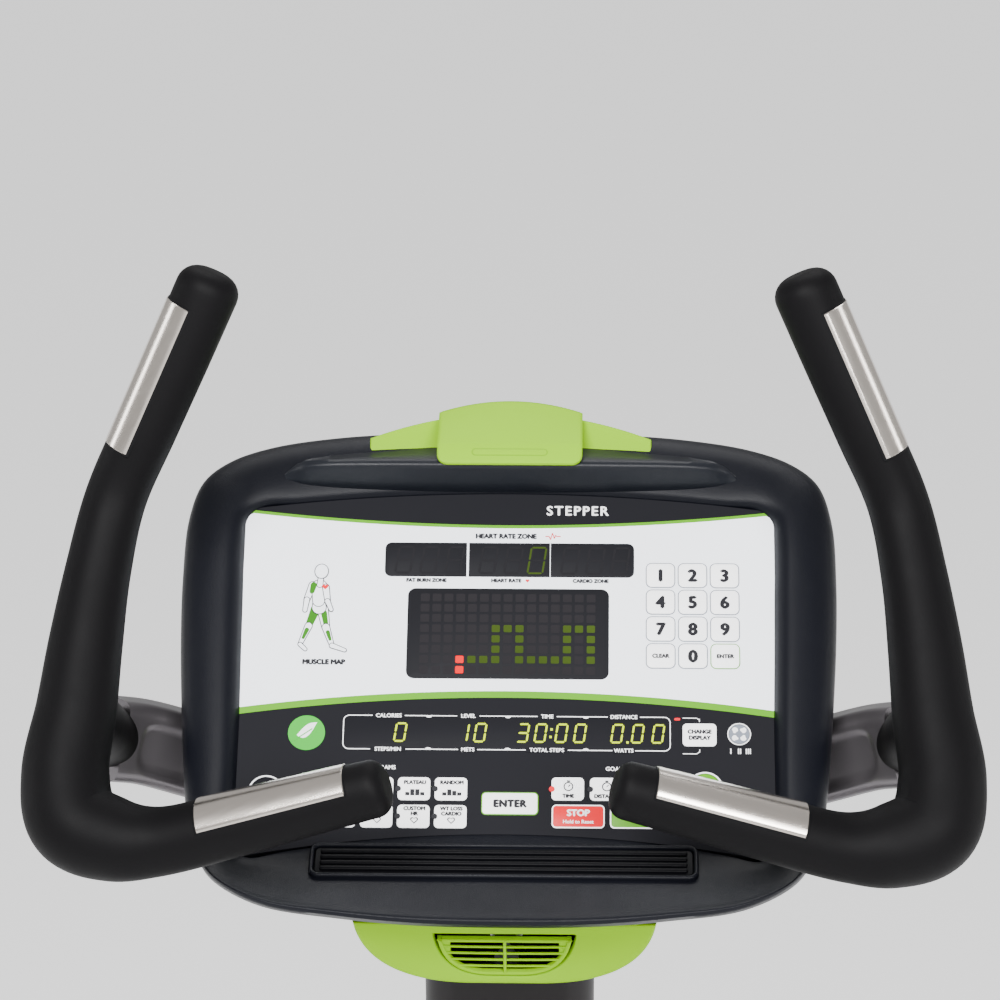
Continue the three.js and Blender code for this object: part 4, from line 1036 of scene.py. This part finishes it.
def handlebar(name, side):
    rows = sided(spline(BAR, 12), side)
    shape = Shape().add(tube(rows, 56, 13, 9.5))
    joint, end = Vector((side * BAR_JOINT[0], *BAR_JOINT[1:])), Vector((side * ARM[0][0], *ARM[0][1:]))
    boss = spline([(*joint, 21), (*joint.lerp(end, 0.35), 22), (*joint.lerp(end, 0.7), 20.5),
                   (*joint.lerp(end, 0.95), 19.5)], 8)
    shape.add(tube(boss, 48, 3.0, 3.0))
    look(f"{name}_handlebar", shape, ["grip"], "grip_rubber", sharp=60)

    outward, upward = Vector((side * 0.866, -0.483, 0.13)), Vector((0, -0.423, 0.907))
    upper = [(side * 193.6, 130.6, 1643), (side * 235, 124, 1551)]
    lower = [(side * 182, 2.7, 1341.6), (side * 90, -9.5, 1371.2)]
    for part, (start, end_point), radii, facing in (("upper", upper, (20.3, 19.9), outward),
                                                    ("lower", lower, (20.8, 18.4), upward)):
        # A dark band just wider than each contact: painted shadow of the recess round it.
        dark = Shape().add(plate(start, end_point, radii, facing, 50.2, -0.6, 0.3, -0.8))
        piece(f"{name}_{part}_contact_shadow_border", dark, ["painted_shadow"], "grip_rubber")
        metal = Shape().add(plate(start, end_point, radii, facing, 48, -0.3, 0.85, 0.4))
        look(f"{name}_{part}_contact", metal, ["contact"], "contact_steel")


def support(name, side):
    path = spline(sided(ARM, side), 12)
    pts = [Vector(p) for p in path]
    rings = []
    count = len(pts)
    section = rounded(-17, -27, 17, 27, 9, 6)
    dense = []
    for (x0, y0), (x1, y1) in zip(section, section[1:] + section[:1]):
        steps = max(1, int(math.dist((x0, y0), (x1, y1)) / 2.5))
        dense += [(x0 + (x1 - x0) * k / steps, y0 + (y1 - y0) * k / steps) for k in range(steps)]
    for i, p in enumerate(pts):
        t = (pts[min(count - 1, i + 1)] - pts[max(0, i - 1)]).normalized()
        across = t.cross(Vector((0, 0, 1))).normalized()
        up = across.cross(t).normalized()
        front = -1 if across.y > 0 else 1
        s = i / (count - 1)
        ring = []
        for x, y in dense:
            ox, oy = (s - 0.42) / 0.30, y / 17.0
            inside = 1 - min(1, max(0, (ox * ox * ox * ox + oy * oy * oy * oy) ** 0.25 - 0.82) / 0.18)
            smooth = inside * inside * (3 - 2 * inside)
            if x * front > 16.5:
                x -= front * 2.6 * smooth
            ring.append(p + across * x + up * y)
        rings.append(ring)
    look(f"{name}_handlebar_support", Shape().add(loft(rings)), ["frame"], "painted_frame", sharp=50)


# ---- Fan under the console --------------------------------------------------------------------
FAN = {"low": 1200, "mid": 1227, "high": 1254, "front": 90, "back": 236, "half": 97.5,
       "slope": math.radians(29)}
VENT = {"half": 46, "low": -23, "high": 19.5}


def boat(half, low, high, by=0.0, n=28):
    """A boat's outline, flat on top, in anticlockwise order, moved inwards by some millimetres."""
    pts = []
    h = high - low
    for k in range(n + 1):
        t = k / n
        a = (1 - t) ** 3, 3 * (1 - t) ** 2 * t, 3 * (1 - t) * t * t, t ** 3
        x = a[0] * -half + a[1] * -half * 0.965 + a[2] * -half * 0.76 + a[3] * -half * 0.22
        z = a[0] * high + a[1] * (low + h * 0.47) + a[2] * low + a[3] * low
        pts.append((x, z))
    pts += [(-x, z) for x, z in pts[::-1]]
    flat = [(half - 2 * half * k / 12, high) for k in range(1, 12)]
    return inset(pts + flat, by)


def fan_face(x, z, d):
    """The sloped front: x across, z up it from its middle, d into the housing."""
    a = FAN["slope"]
    return (x, FAN["front"] + d * math.cos(a) - z * math.sin(a),
            FAN["mid"] + d * math.sin(a) + z * math.cos(a))


def fan():
    mid = FAN["mid"]
    outline = boat(FAN["half"], FAN["low"] - mid, FAN["high"] - mid)

    def on_front(x, z, depth):
        return (x, FAN["front"] - z * math.tan(FAN["slope"]) + depth, mid + z)

    rings = [[(x, FAN["back"], mid + z) for x, z in outline]]
    for k in range(6):
        a = math.pi / 2 * k / 5
        line = inset(outline, 2.5 * (1 - math.cos(a)))
        rings.append([on_front(x, z, 2.5 * (1 - math.sin(a))) for x, z in line])
    hole = boat(VENT["half"], VENT["low"], VENT["high"])
    for depth, by in ((0.0, -1.2), (0.35, -0.5), (1.2, 0.0), (5, 0.0)):
        rings.append([fan_face(x, z, depth) for x, z in inset(hole, by)])
    shape = Shape().add(loft(rings, caps=False))
    n = len(outline)
    shape.add((rings[0], [list(range(n))[::-1]]))
    # The hollow behind the front wall, its walls coloured with painted shadow.
    pocket = inset(outline, 4)
    deep = [rings[-1], [on_front(x, z, 5.8) for x, z in pocket], [(x, 190, mid + z) for x, z in pocket]]
    shape.add(loft(deep, caps=False), 1)
    shape.add((deep[-1], [list(range(n))]), 1)
    look("fan_housing", shape, ["green", "painted_shadow"], "green_plastic", sharp=40)

    def plate_at(x, z, d):
        return fan_face(x, z, -d)

    louvre = Shape()
    outer = boat(VENT["half"], VENT["low"], VENT["high"] - 1.8, 2.5)
    inner = boat(VENT["half"], VENT["low"], VENT["high"] - 1.8, 5.3)
    rows = [(outer, -2.5), (outer, 0.4), (inset(outer, 0.6), 1.0), (inset(inner, -0.6), 1.0), (inner, 0.4),
            (inner, -2.5)]
    louvre.add(loft([[plate_at(x, z, d) for x, z in line] for line, d in rows], closed=True))

    def inner_half(z):
        """Half the width of the opening at a height."""
        best = 0.0
        for (x0, z0), (x1, z1) in zip(inner, inner[1:]):
            if (z0 - z) * (z1 - z) <= 0 and abs(z1 - z0) > 1e-6:
                best = max(best, abs(x0 + (x1 - x0) * (z - z0) / (z1 - z0)))
        return best

    for k in range(4):
        z = 7.6 - 6.4 * k
        half = inner_half(z) + 0.8
        rows = []
        for i in range(25):
            x = -half + 2 * half * i / 24
            sag = -0.5 * (1 - (x / half) ** 2)
            rows.append([plate_at(x, z + sag + 0.85 * math.cos(a), -0.2 + 0.9 * math.sin(a))
                         for a in [2 * math.pi * j / 10 for j in range(10)]])
        louvre.add(loft(rows))
    low_z = min(z for _, z in inner)
    louvre.add(slab(rounded(-1.0, low_z - 0.6, 1.0, VENT["high"] - 5.0, 0.9, 3), -2.2, 1.3, plate_at, 0.5, 2))
    for s in (-1, 1):
        for k in range(5):
            z = 10.9 - 6.4 * k
            reach = inner_half(z) + 0.5
            if reach - 35 > 3:
                x0, x1 = sorted((s * 35, s * reach))
                louvre.add(slab(rounded(x0, z - 2.4, x1, z + 1.6, 0.4, 2), -2.2, -0.3, plate_at, 0.3, 2))
    look("fan_louvre", louvre, ["green"], "green_plastic", body="louvre", sharp=50)


# ---- Mast, collar and covers ------------------------------------------------------------------
MAST_TOP, MAST_LOW = (211, 1290), (339.5, 561)


def mast_y(z):
    return MAST_TOP[0] + (MAST_TOP[1] - z) * (MAST_LOW[0] - MAST_TOP[0]) / (MAST_TOP[1] - MAST_LOW[1])


def mast_ring(z, grow=0.0, steps=8):
    y = mast_y(z)
    section = rounded(-58 - grow, y - 30 - grow, 58 + grow, y + 30 + grow, 22 + grow, steps)
    return [(x, q, z) for x, q in section]


def mast_and_collar():
    flange = slab(rounded(-72, 291, 72, 399, 10, 5), 560.4, 570, along_z, 2, 3, both=True)
    shape = Shape().add(loft([mast_ring(z) for z in range(566, 1352, 12)])).add(flange)
    look("mast", shape, ["mast"], "painted_frame", sharp=50)
    levels = [(669, 15), (670, 16), (685, 15.6), (688.5, 14.2), (690.5, 9.4), (706, 8.6), (710, 7.4),
              (711.8, 4.6), (711.8, 1.4), (669, 1.4)]
    rings = [mast_ring(z, grow) for z, grow in levels]
    look("mast_collar", Shape().add(loft(rings, closed=True)), ["shell"], "shell_plastic", sharp=50)


COVER = [
    (32, 92), (26, 420), (36, 490), (71, 545), (110, 578), (235, 648), (276, 668), (368, 668), (430, 650),
    (505, 585), (560, 490), (588, 380), (594, 250), (590, 92),
]


def proud_of(side, face):
    """Places a slab on the side of a cover."""
    return lambda y, z, x: along_x(y, z, side * (face + x))


def covers():
    outline = [(p[0], p[1]) for p in spline([(y, z, 0) for y, z in COVER], 6)][::-1]
    straight = []
    for (a, b), (c, d) in zip(outline, outline[1:] + outline[:1]):
        steps = max(1, int(math.dist((a, b), (c, d)) / 30))
        straight += [(a + (c - a) * k / steps, b + (d - b) * k / steps) for k in range(steps)]
    outline = anticlockwise(straight)
    for name, side in (("left", -1), ("right", 1)):
        levels = [(0.3, 1.4), (0.9, 0.3), (1.8, 0.0), (60, 0), (120, 0)]
        levels += [(142 + 26 * math.sin(a), 26 * (1 - math.cos(a))) for a in arc_steps(8)]
        rings = [[along_x(y, z, side * x) for y, z in inset(outline, by)] for x, by in levels]
        obj = look(f"{name}_side_cover", Shape().add(loft(rings)), ["cover"], "cover_plastic", sharp=40)
        levels = [(-2, 3), (120, 3)] + [(142 + 23 * math.sin(a), 3 + 23 * (1 - math.cos(a)))
                                        for a in arc_steps(5)]
        hollow = Shape().add(loft([[along_x(y, z, side * x) for y, z in inset(outline, by)]
                                   for x, by in levels]))
        under = Shape().add(slab(rounded(58, 80, 562, 120, 4, 2), *sorted((side * -1, side * 160)), along_x))
        slot = Shape().add(slab(rounded(-5, 60, 80, 418, 10, 5), *sorted((side * 91, side * 139)), along_x))
        hole = Shape().add(loft([mast_ring(z, 2) for z in (600, 720)]))
        cut(obj, hollow, under, slot, hole)
        trim = Shape()
        for y, z in ((70, 160), (520, 160), (320, 600), (140, 520), (500, 470)):
            rim = [(THIN, side * 167.0), (8, side * 167.0), (8, side * 168.2), (6.8, side * 168.9),
                   (THIN, side * 168.9)]
            trim.add(lathe(rim, "x", (0, y, z), 32), 0)
            trim.add(lathe(pin(4.2, side * 168.5, side * 169.4), "x", (0, y, z), 24), 1)
        piece(f"{name}_cover_screws", trim, ["shell", "steel"], "cover_plastic")
        louvres = Shape()
        for k in range(7):
            z = 250 + 16 * k
            louvres.add(slab(rounded(380, z - 2.6, 500, z + 2.6, 2.6, 4), 0, 1.1, proud_of(side, 167.4), 0.5,
                             3), 0)
            # A dark strip along each louvre: painted shadow of the slot.
            louvres.add(slab(rounded(382, z - 1.1, 498, z + 1.1, 1.1, 3), 0, 0.5, proud_of(side, 168.2)), 1)
        piece(f"{name}_cover_vents", louvres, ["cover", "painted_shadow"], "cover_plastic")


# ---- Floor frame, wheels and feet -------------------------------------------------------------
def floor_frame():
    for name, y0 in (("front", 529), ("rear", -655)):
        shape = Shape()
        section = rounded(y0, 24, y0 + 62, 76, 10, 6)
        shape.add(slab(section, -332, 332, along_x))
        for s in (-1, 1):
            cap = ((331, 0), (332.4, 0.9), (332.8, 0), (336, 0), (338.6, 1.2), (340, 4.2))
            shape.add(loft([[along_x(y, z, s * x) for y, z in inset(section, by)] for x, by in cap]), 1)
        if name == "front":
            for s in (-1, 1):
                ear = [(585, 30), (635, 24), (639, 40), (631, 49), (585, 64)]
                shape.add(slab(ear, *sorted((s * 222, s * 217)), along_x, 1.2, 3, both=True), 0)
                a, b = sorted((s * 217, s * 249))
                shape.add(lathe(softened(pin(6, a, b), 0.8), "x", (0, 627, 36), 28), 2)
        look(f"{name}_stabilizer", shape, ["frame", "rubber", "steel"], "painted_frame")
    rail = Shape()
    section = rounded(-50, 24, 50, 82, 8, 5)
    rail.add(loft([[along_y(x, z, y) for x, z in section] for y in range(-592, 529, 40)]
                  + [[along_y(x, z, 528.6) for x, z in section]]))
    bolt = [(THIN, 82), (8, 82), (8, 84.5), (4, 86), (THIN, 86)]
    for y in (-540, 480):
        for x in (-30, 30):
            rail.add(lathe(softened(bolt, 0.6), "z", (x, y, 0), 6), 1)
    look("base_rail", rail, ["frame", "steel"], "painted_frame")
    for row, y in (("front", 560), ("rear", -624)):
        for side, x in (("left", -300), ("right", 300)):
            pad = softened([(THIN, 0), (25, 0), (26, 2), (26, 9), (20, 14), (12, 16), (12, 20), (6, 20),
                            (6, 48), (THIN, 48)], 0.9)
            look(f"{row}_{side}_foot", Shape().add(lathe(pad, "z", (x, y, 0), 48)), ["rubber"],
                 "black_rubber", body=f"foot_{row}_{side}")
    for side, s in (("left", -1), ("right", 1)):
        tread = softened([(6.5, -11), (15, -11), (17, -9), (22, -9), (24, -11), (27, -9.5), (28, -7), (28, 7),
                          (27, 9.5), (24, 11), (22, 9), (17, 9), (15, 11), (6.5, 11), (6.5, -11)], 0.7)
        look(f"{side}_transport_wheel", Shape().add(loft_closed(tread, (s * 235, 627, 36), 56)), ["rubber"],
             "black_rubber", body=f"{side}_wheel")


def loft_closed(profile, centre, n):
    """A lathe round X whose profile closes on itself."""
    rings = []
    for r, a in profile[:-1]:
        rings.append([(centre[0] + a, y, z) for y, z in disc(centre[1], centre[2], r, n)])
    return loft(rings, closed=True, caps=False)


# ---- Pedals, arms and links -------------------------------------------------------------------
RISE = math.radians(14)
PIVOT = (330, 300)
ARM_LENGTH = 520
LINK_DROP = 80
TREAD = {"rise": 55, "behind": 303, "ahead": 50, "half": 83}  # the pedal, from the eye's middle
EYE_Y = PIVOT[0] - ARM_LENGTH * math.cos(RISE)
EYE_Z = PIVOT[1] + ARM_LENGTH * math.sin(RISE)


def bar(half, height, z_shift, hub, eye, x):
    """A straight arm between its pivots, with an eye at each end."""

    def place(s, h, w):
        y = PIVOT[0] - s * math.cos(RISE) + h * math.sin(RISE)
        z = PIVOT[1] + s * math.sin(RISE) + h * math.cos(RISE) - z_shift
        return (x + w, y, z)

    shape = Shape()
    outline = rounded(0, -height / 2, ARM_LENGTH, height / 2, 3, 3)
    shape.add(slab(outline, -half, half, place, 3, 4, both=True))
    for (y, z), r, bore in (((PIVOT[0], PIVOT[1] - z_shift), hub[0], hub[1]),
                            ((EYE_Y, EYE_Z - z_shift), eye[0], eye[1])):
        profile = [(bore, -17), (r, -17), (r, 17), (bore, 17), (bore, -17)]
        shape.add(loft_closed(softened(profile, 1.2), (x, y, z), 56))
    return shape


def pedals():
    for name, side in (("left", -1), ("right", 1)):
        x = side * 115
        look(f"{name}_pedal_arm", bar(12.5, 46, 0, (26, 12.9), (20, 8.4), x), ["frame"], "painted_frame",
             body=f"{name}_arm")
        look(f"{name}_levelling_link", bar(8, 24, LINK_DROP, (16, 8.4), (20, 8.4), x), ["frame"],
             "painted_frame", body=f"{name}_link")
        top = EYE_Z + TREAD["rise"]
        rear, front, half = EYE_Y - TREAD["behind"], EYE_Y + TREAD["ahead"], TREAD["half"]
        outline = rounded(x - half, rear, x + half, front, 26, 8)
        levels = [(top - 12, 5), (top - 11, 2), (top - 8, 0), (top + 12, 0), (top + 14.8, 0.8), (top + 16, 3),
                  (top + 16, 6), (top + 14.8, 8.2), (top + 12, 9), (top, 9.3)]
        shape = Shape().add(loft([[(px, py, z) for px, py in inset(outline, by)] for z, by in levels]))
        for s in (-1, 1):
            a, b = sorted((x + s * 18.5, x + s * 24.5))
            ear = [(EYE_Y - 42, top - 11), (EYE_Y - 18, EYE_Z - LINK_DROP - 14),
                   (EYE_Y - 9, EYE_Z - LINK_DROP - 19), (EYE_Y, EYE_Z - LINK_DROP - 20),
                   (EYE_Y + 9, EYE_Z - LINK_DROP - 19), (EYE_Y + 18, EYE_Z - LINK_DROP - 14),
                   (EYE_Y + 42, top - 11)]
            shape.add(slab(ear, a, b, along_x, 1.3, 3, both=True), 1)
        for z in (EYE_Z, EYE_Z - LINK_DROP):
            shape.add(lathe(softened(pin(8, -27.5, 27.5), 1.2), "x", (x, EYE_Y, z), 32), 2)
            for s in (-1, 1):
                shape.add(lathe(softened(pin(12, s * 24.5, s * 26.2), 0.5), "x", (x, EYE_Y, z), 32), 2)
        for s in (-1, 1):
            for yy in (rear + 60, front - 50):
                a, b = sorted((x + s * 40, x + s * 44))
                shape.add(slab(rounded(yy - 30, top - 22, yy + 30, top - 11, 3, 3), a, b, along_x, 1, 2,
                               both=True), 0)
        look(f"{name}_pedal", shape, ["cover", "frame", "steel"], "shell_plastic", body=f"{name}_step")
        mat = Shape()
        inner = inset(outline, 9.6)
        mat.add(slab(inner, top + 0.4, top + 5, along_z, 1.2, 3))
        y = rear + 26
        while y < front - 26:
            mat.add(slab(rounded(x - 62, y, x + 62, y + 6.5, 2.6, 3), top + 4, top + 7.8, along_z, 1.2, 3))
            y += 12
        look(f"{name}_pedal_mat", mat, ["rubber"], "black_rubber", body=f"{name}_step")


# ---- Nodes kept from the CAD ------------------------------------------------------------------
KEPT = {
    "frame": ["drive_frame"],
    "steel": ["pivot_shaft", "drive_shaft", "drive_pulley", "left_clutch_pulley", "right_clutch_pulley",
              "left_bearing",
              "right_bearing", "generator", "generator_pulley", "left_return_spring", "right_return_spring",
              "fan_motor"],
    "rubber": ["drive_belt", "left_strap", "right_strap", "fan_rotor"],
    "copper": ["circuit_board"],
}


def kept_nodes():
    for material, names in KEPT.items():
        for name in names:
            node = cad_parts[name]
            for spot in node.material_slots:
                spot.material = M[material]


# ---- Floor and light --------------------------------------------------------------------------
FLOOR = {"half": 90, "gap": 0.0006, "color": (0.86, 0.86, 0.865, 1), "rough": 0.7, "spec": 0.2, "glow": 0.8}
SKY = 0.5
LIT_SPOT = Vector((0, 0.1, 1.3))
# Name, place and size in metres, and watts.
LAMPS = (
    ("key", (-0.7, -2.1, 3.1), (1.2, 1.2), 150),
    ("fill", (1.1, -2.6, 2.6), (1.3, 1.3), 120),
    ("top", (0.1, 1.3, 3.5), (2.0, 1.0), 35),
    ("side_left", (-2.5, 0.3, 1.7), (0.5, 1.6), 16),
    ("side_right", (2.5, 0.3, 1.7), (0.5, 1.6), 16),
)


def studio():
    mesh = bpy.data.meshes.new("floor")
    far = FLOOR["half"]
    mesh.from_pydata([(-far, -far, 0), (far, -far, 0), (far, far, 0), (-far, far, 0)], [], [[0, 1, 2, 3]])
    floor = linked("floor", mesh)
    floor.location.z = -FLOOR["gap"]
    pale = bpy.data.materials.new("floor_pale")
    pale.use_nodes = True
    shader = pale.node_tree.nodes["Principled BSDF"]
    shader.inputs["Base Color"].default_value = FLOOR["color"]
    shader.inputs["Roughness"].default_value = FLOOR["rough"]
    shader.inputs["Specular IOR Level"].default_value = FLOOR["spec"]
    shader.inputs["Emission Color"].default_value = (1, 1, 1, 1)
    shader.inputs["Emission Strength"].default_value = FLOOR["glow"]
    mesh.materials.append(pale)

    world = bpy.data.worlds.new("studio")
    world.use_nodes = True
    world.node_tree.nodes["Background"].inputs["Color"].default_value = (1, 1, 1, 1)
    world.node_tree.nodes["Background"].inputs["Strength"].default_value = SKY
    bpy.context.scene.world = world
    for name, place, size, power in LAMPS:
        data = bpy.data.lights.new(name, "AREA")
        data.shape = "RECTANGLE"
        data.size, data.size_y = size
        data.energy = power
        lamp = linked(name, data)
        lamp.location = place
        lamp.rotation_euler = (LIT_SPOT - Vector(place)).to_track_quat("-Z", "Y").to_euler()


back_shell(front_shell())
panel()
rack()
ledge_mat()
for side_name, side_sign in (("left", -1), ("right", 1)):
    handlebar(side_name, side_sign)
    support(side_name, side_sign)
fan()
mast_and_collar()
covers()
floor_frame()
pedals()
kept_nodes()
studio()
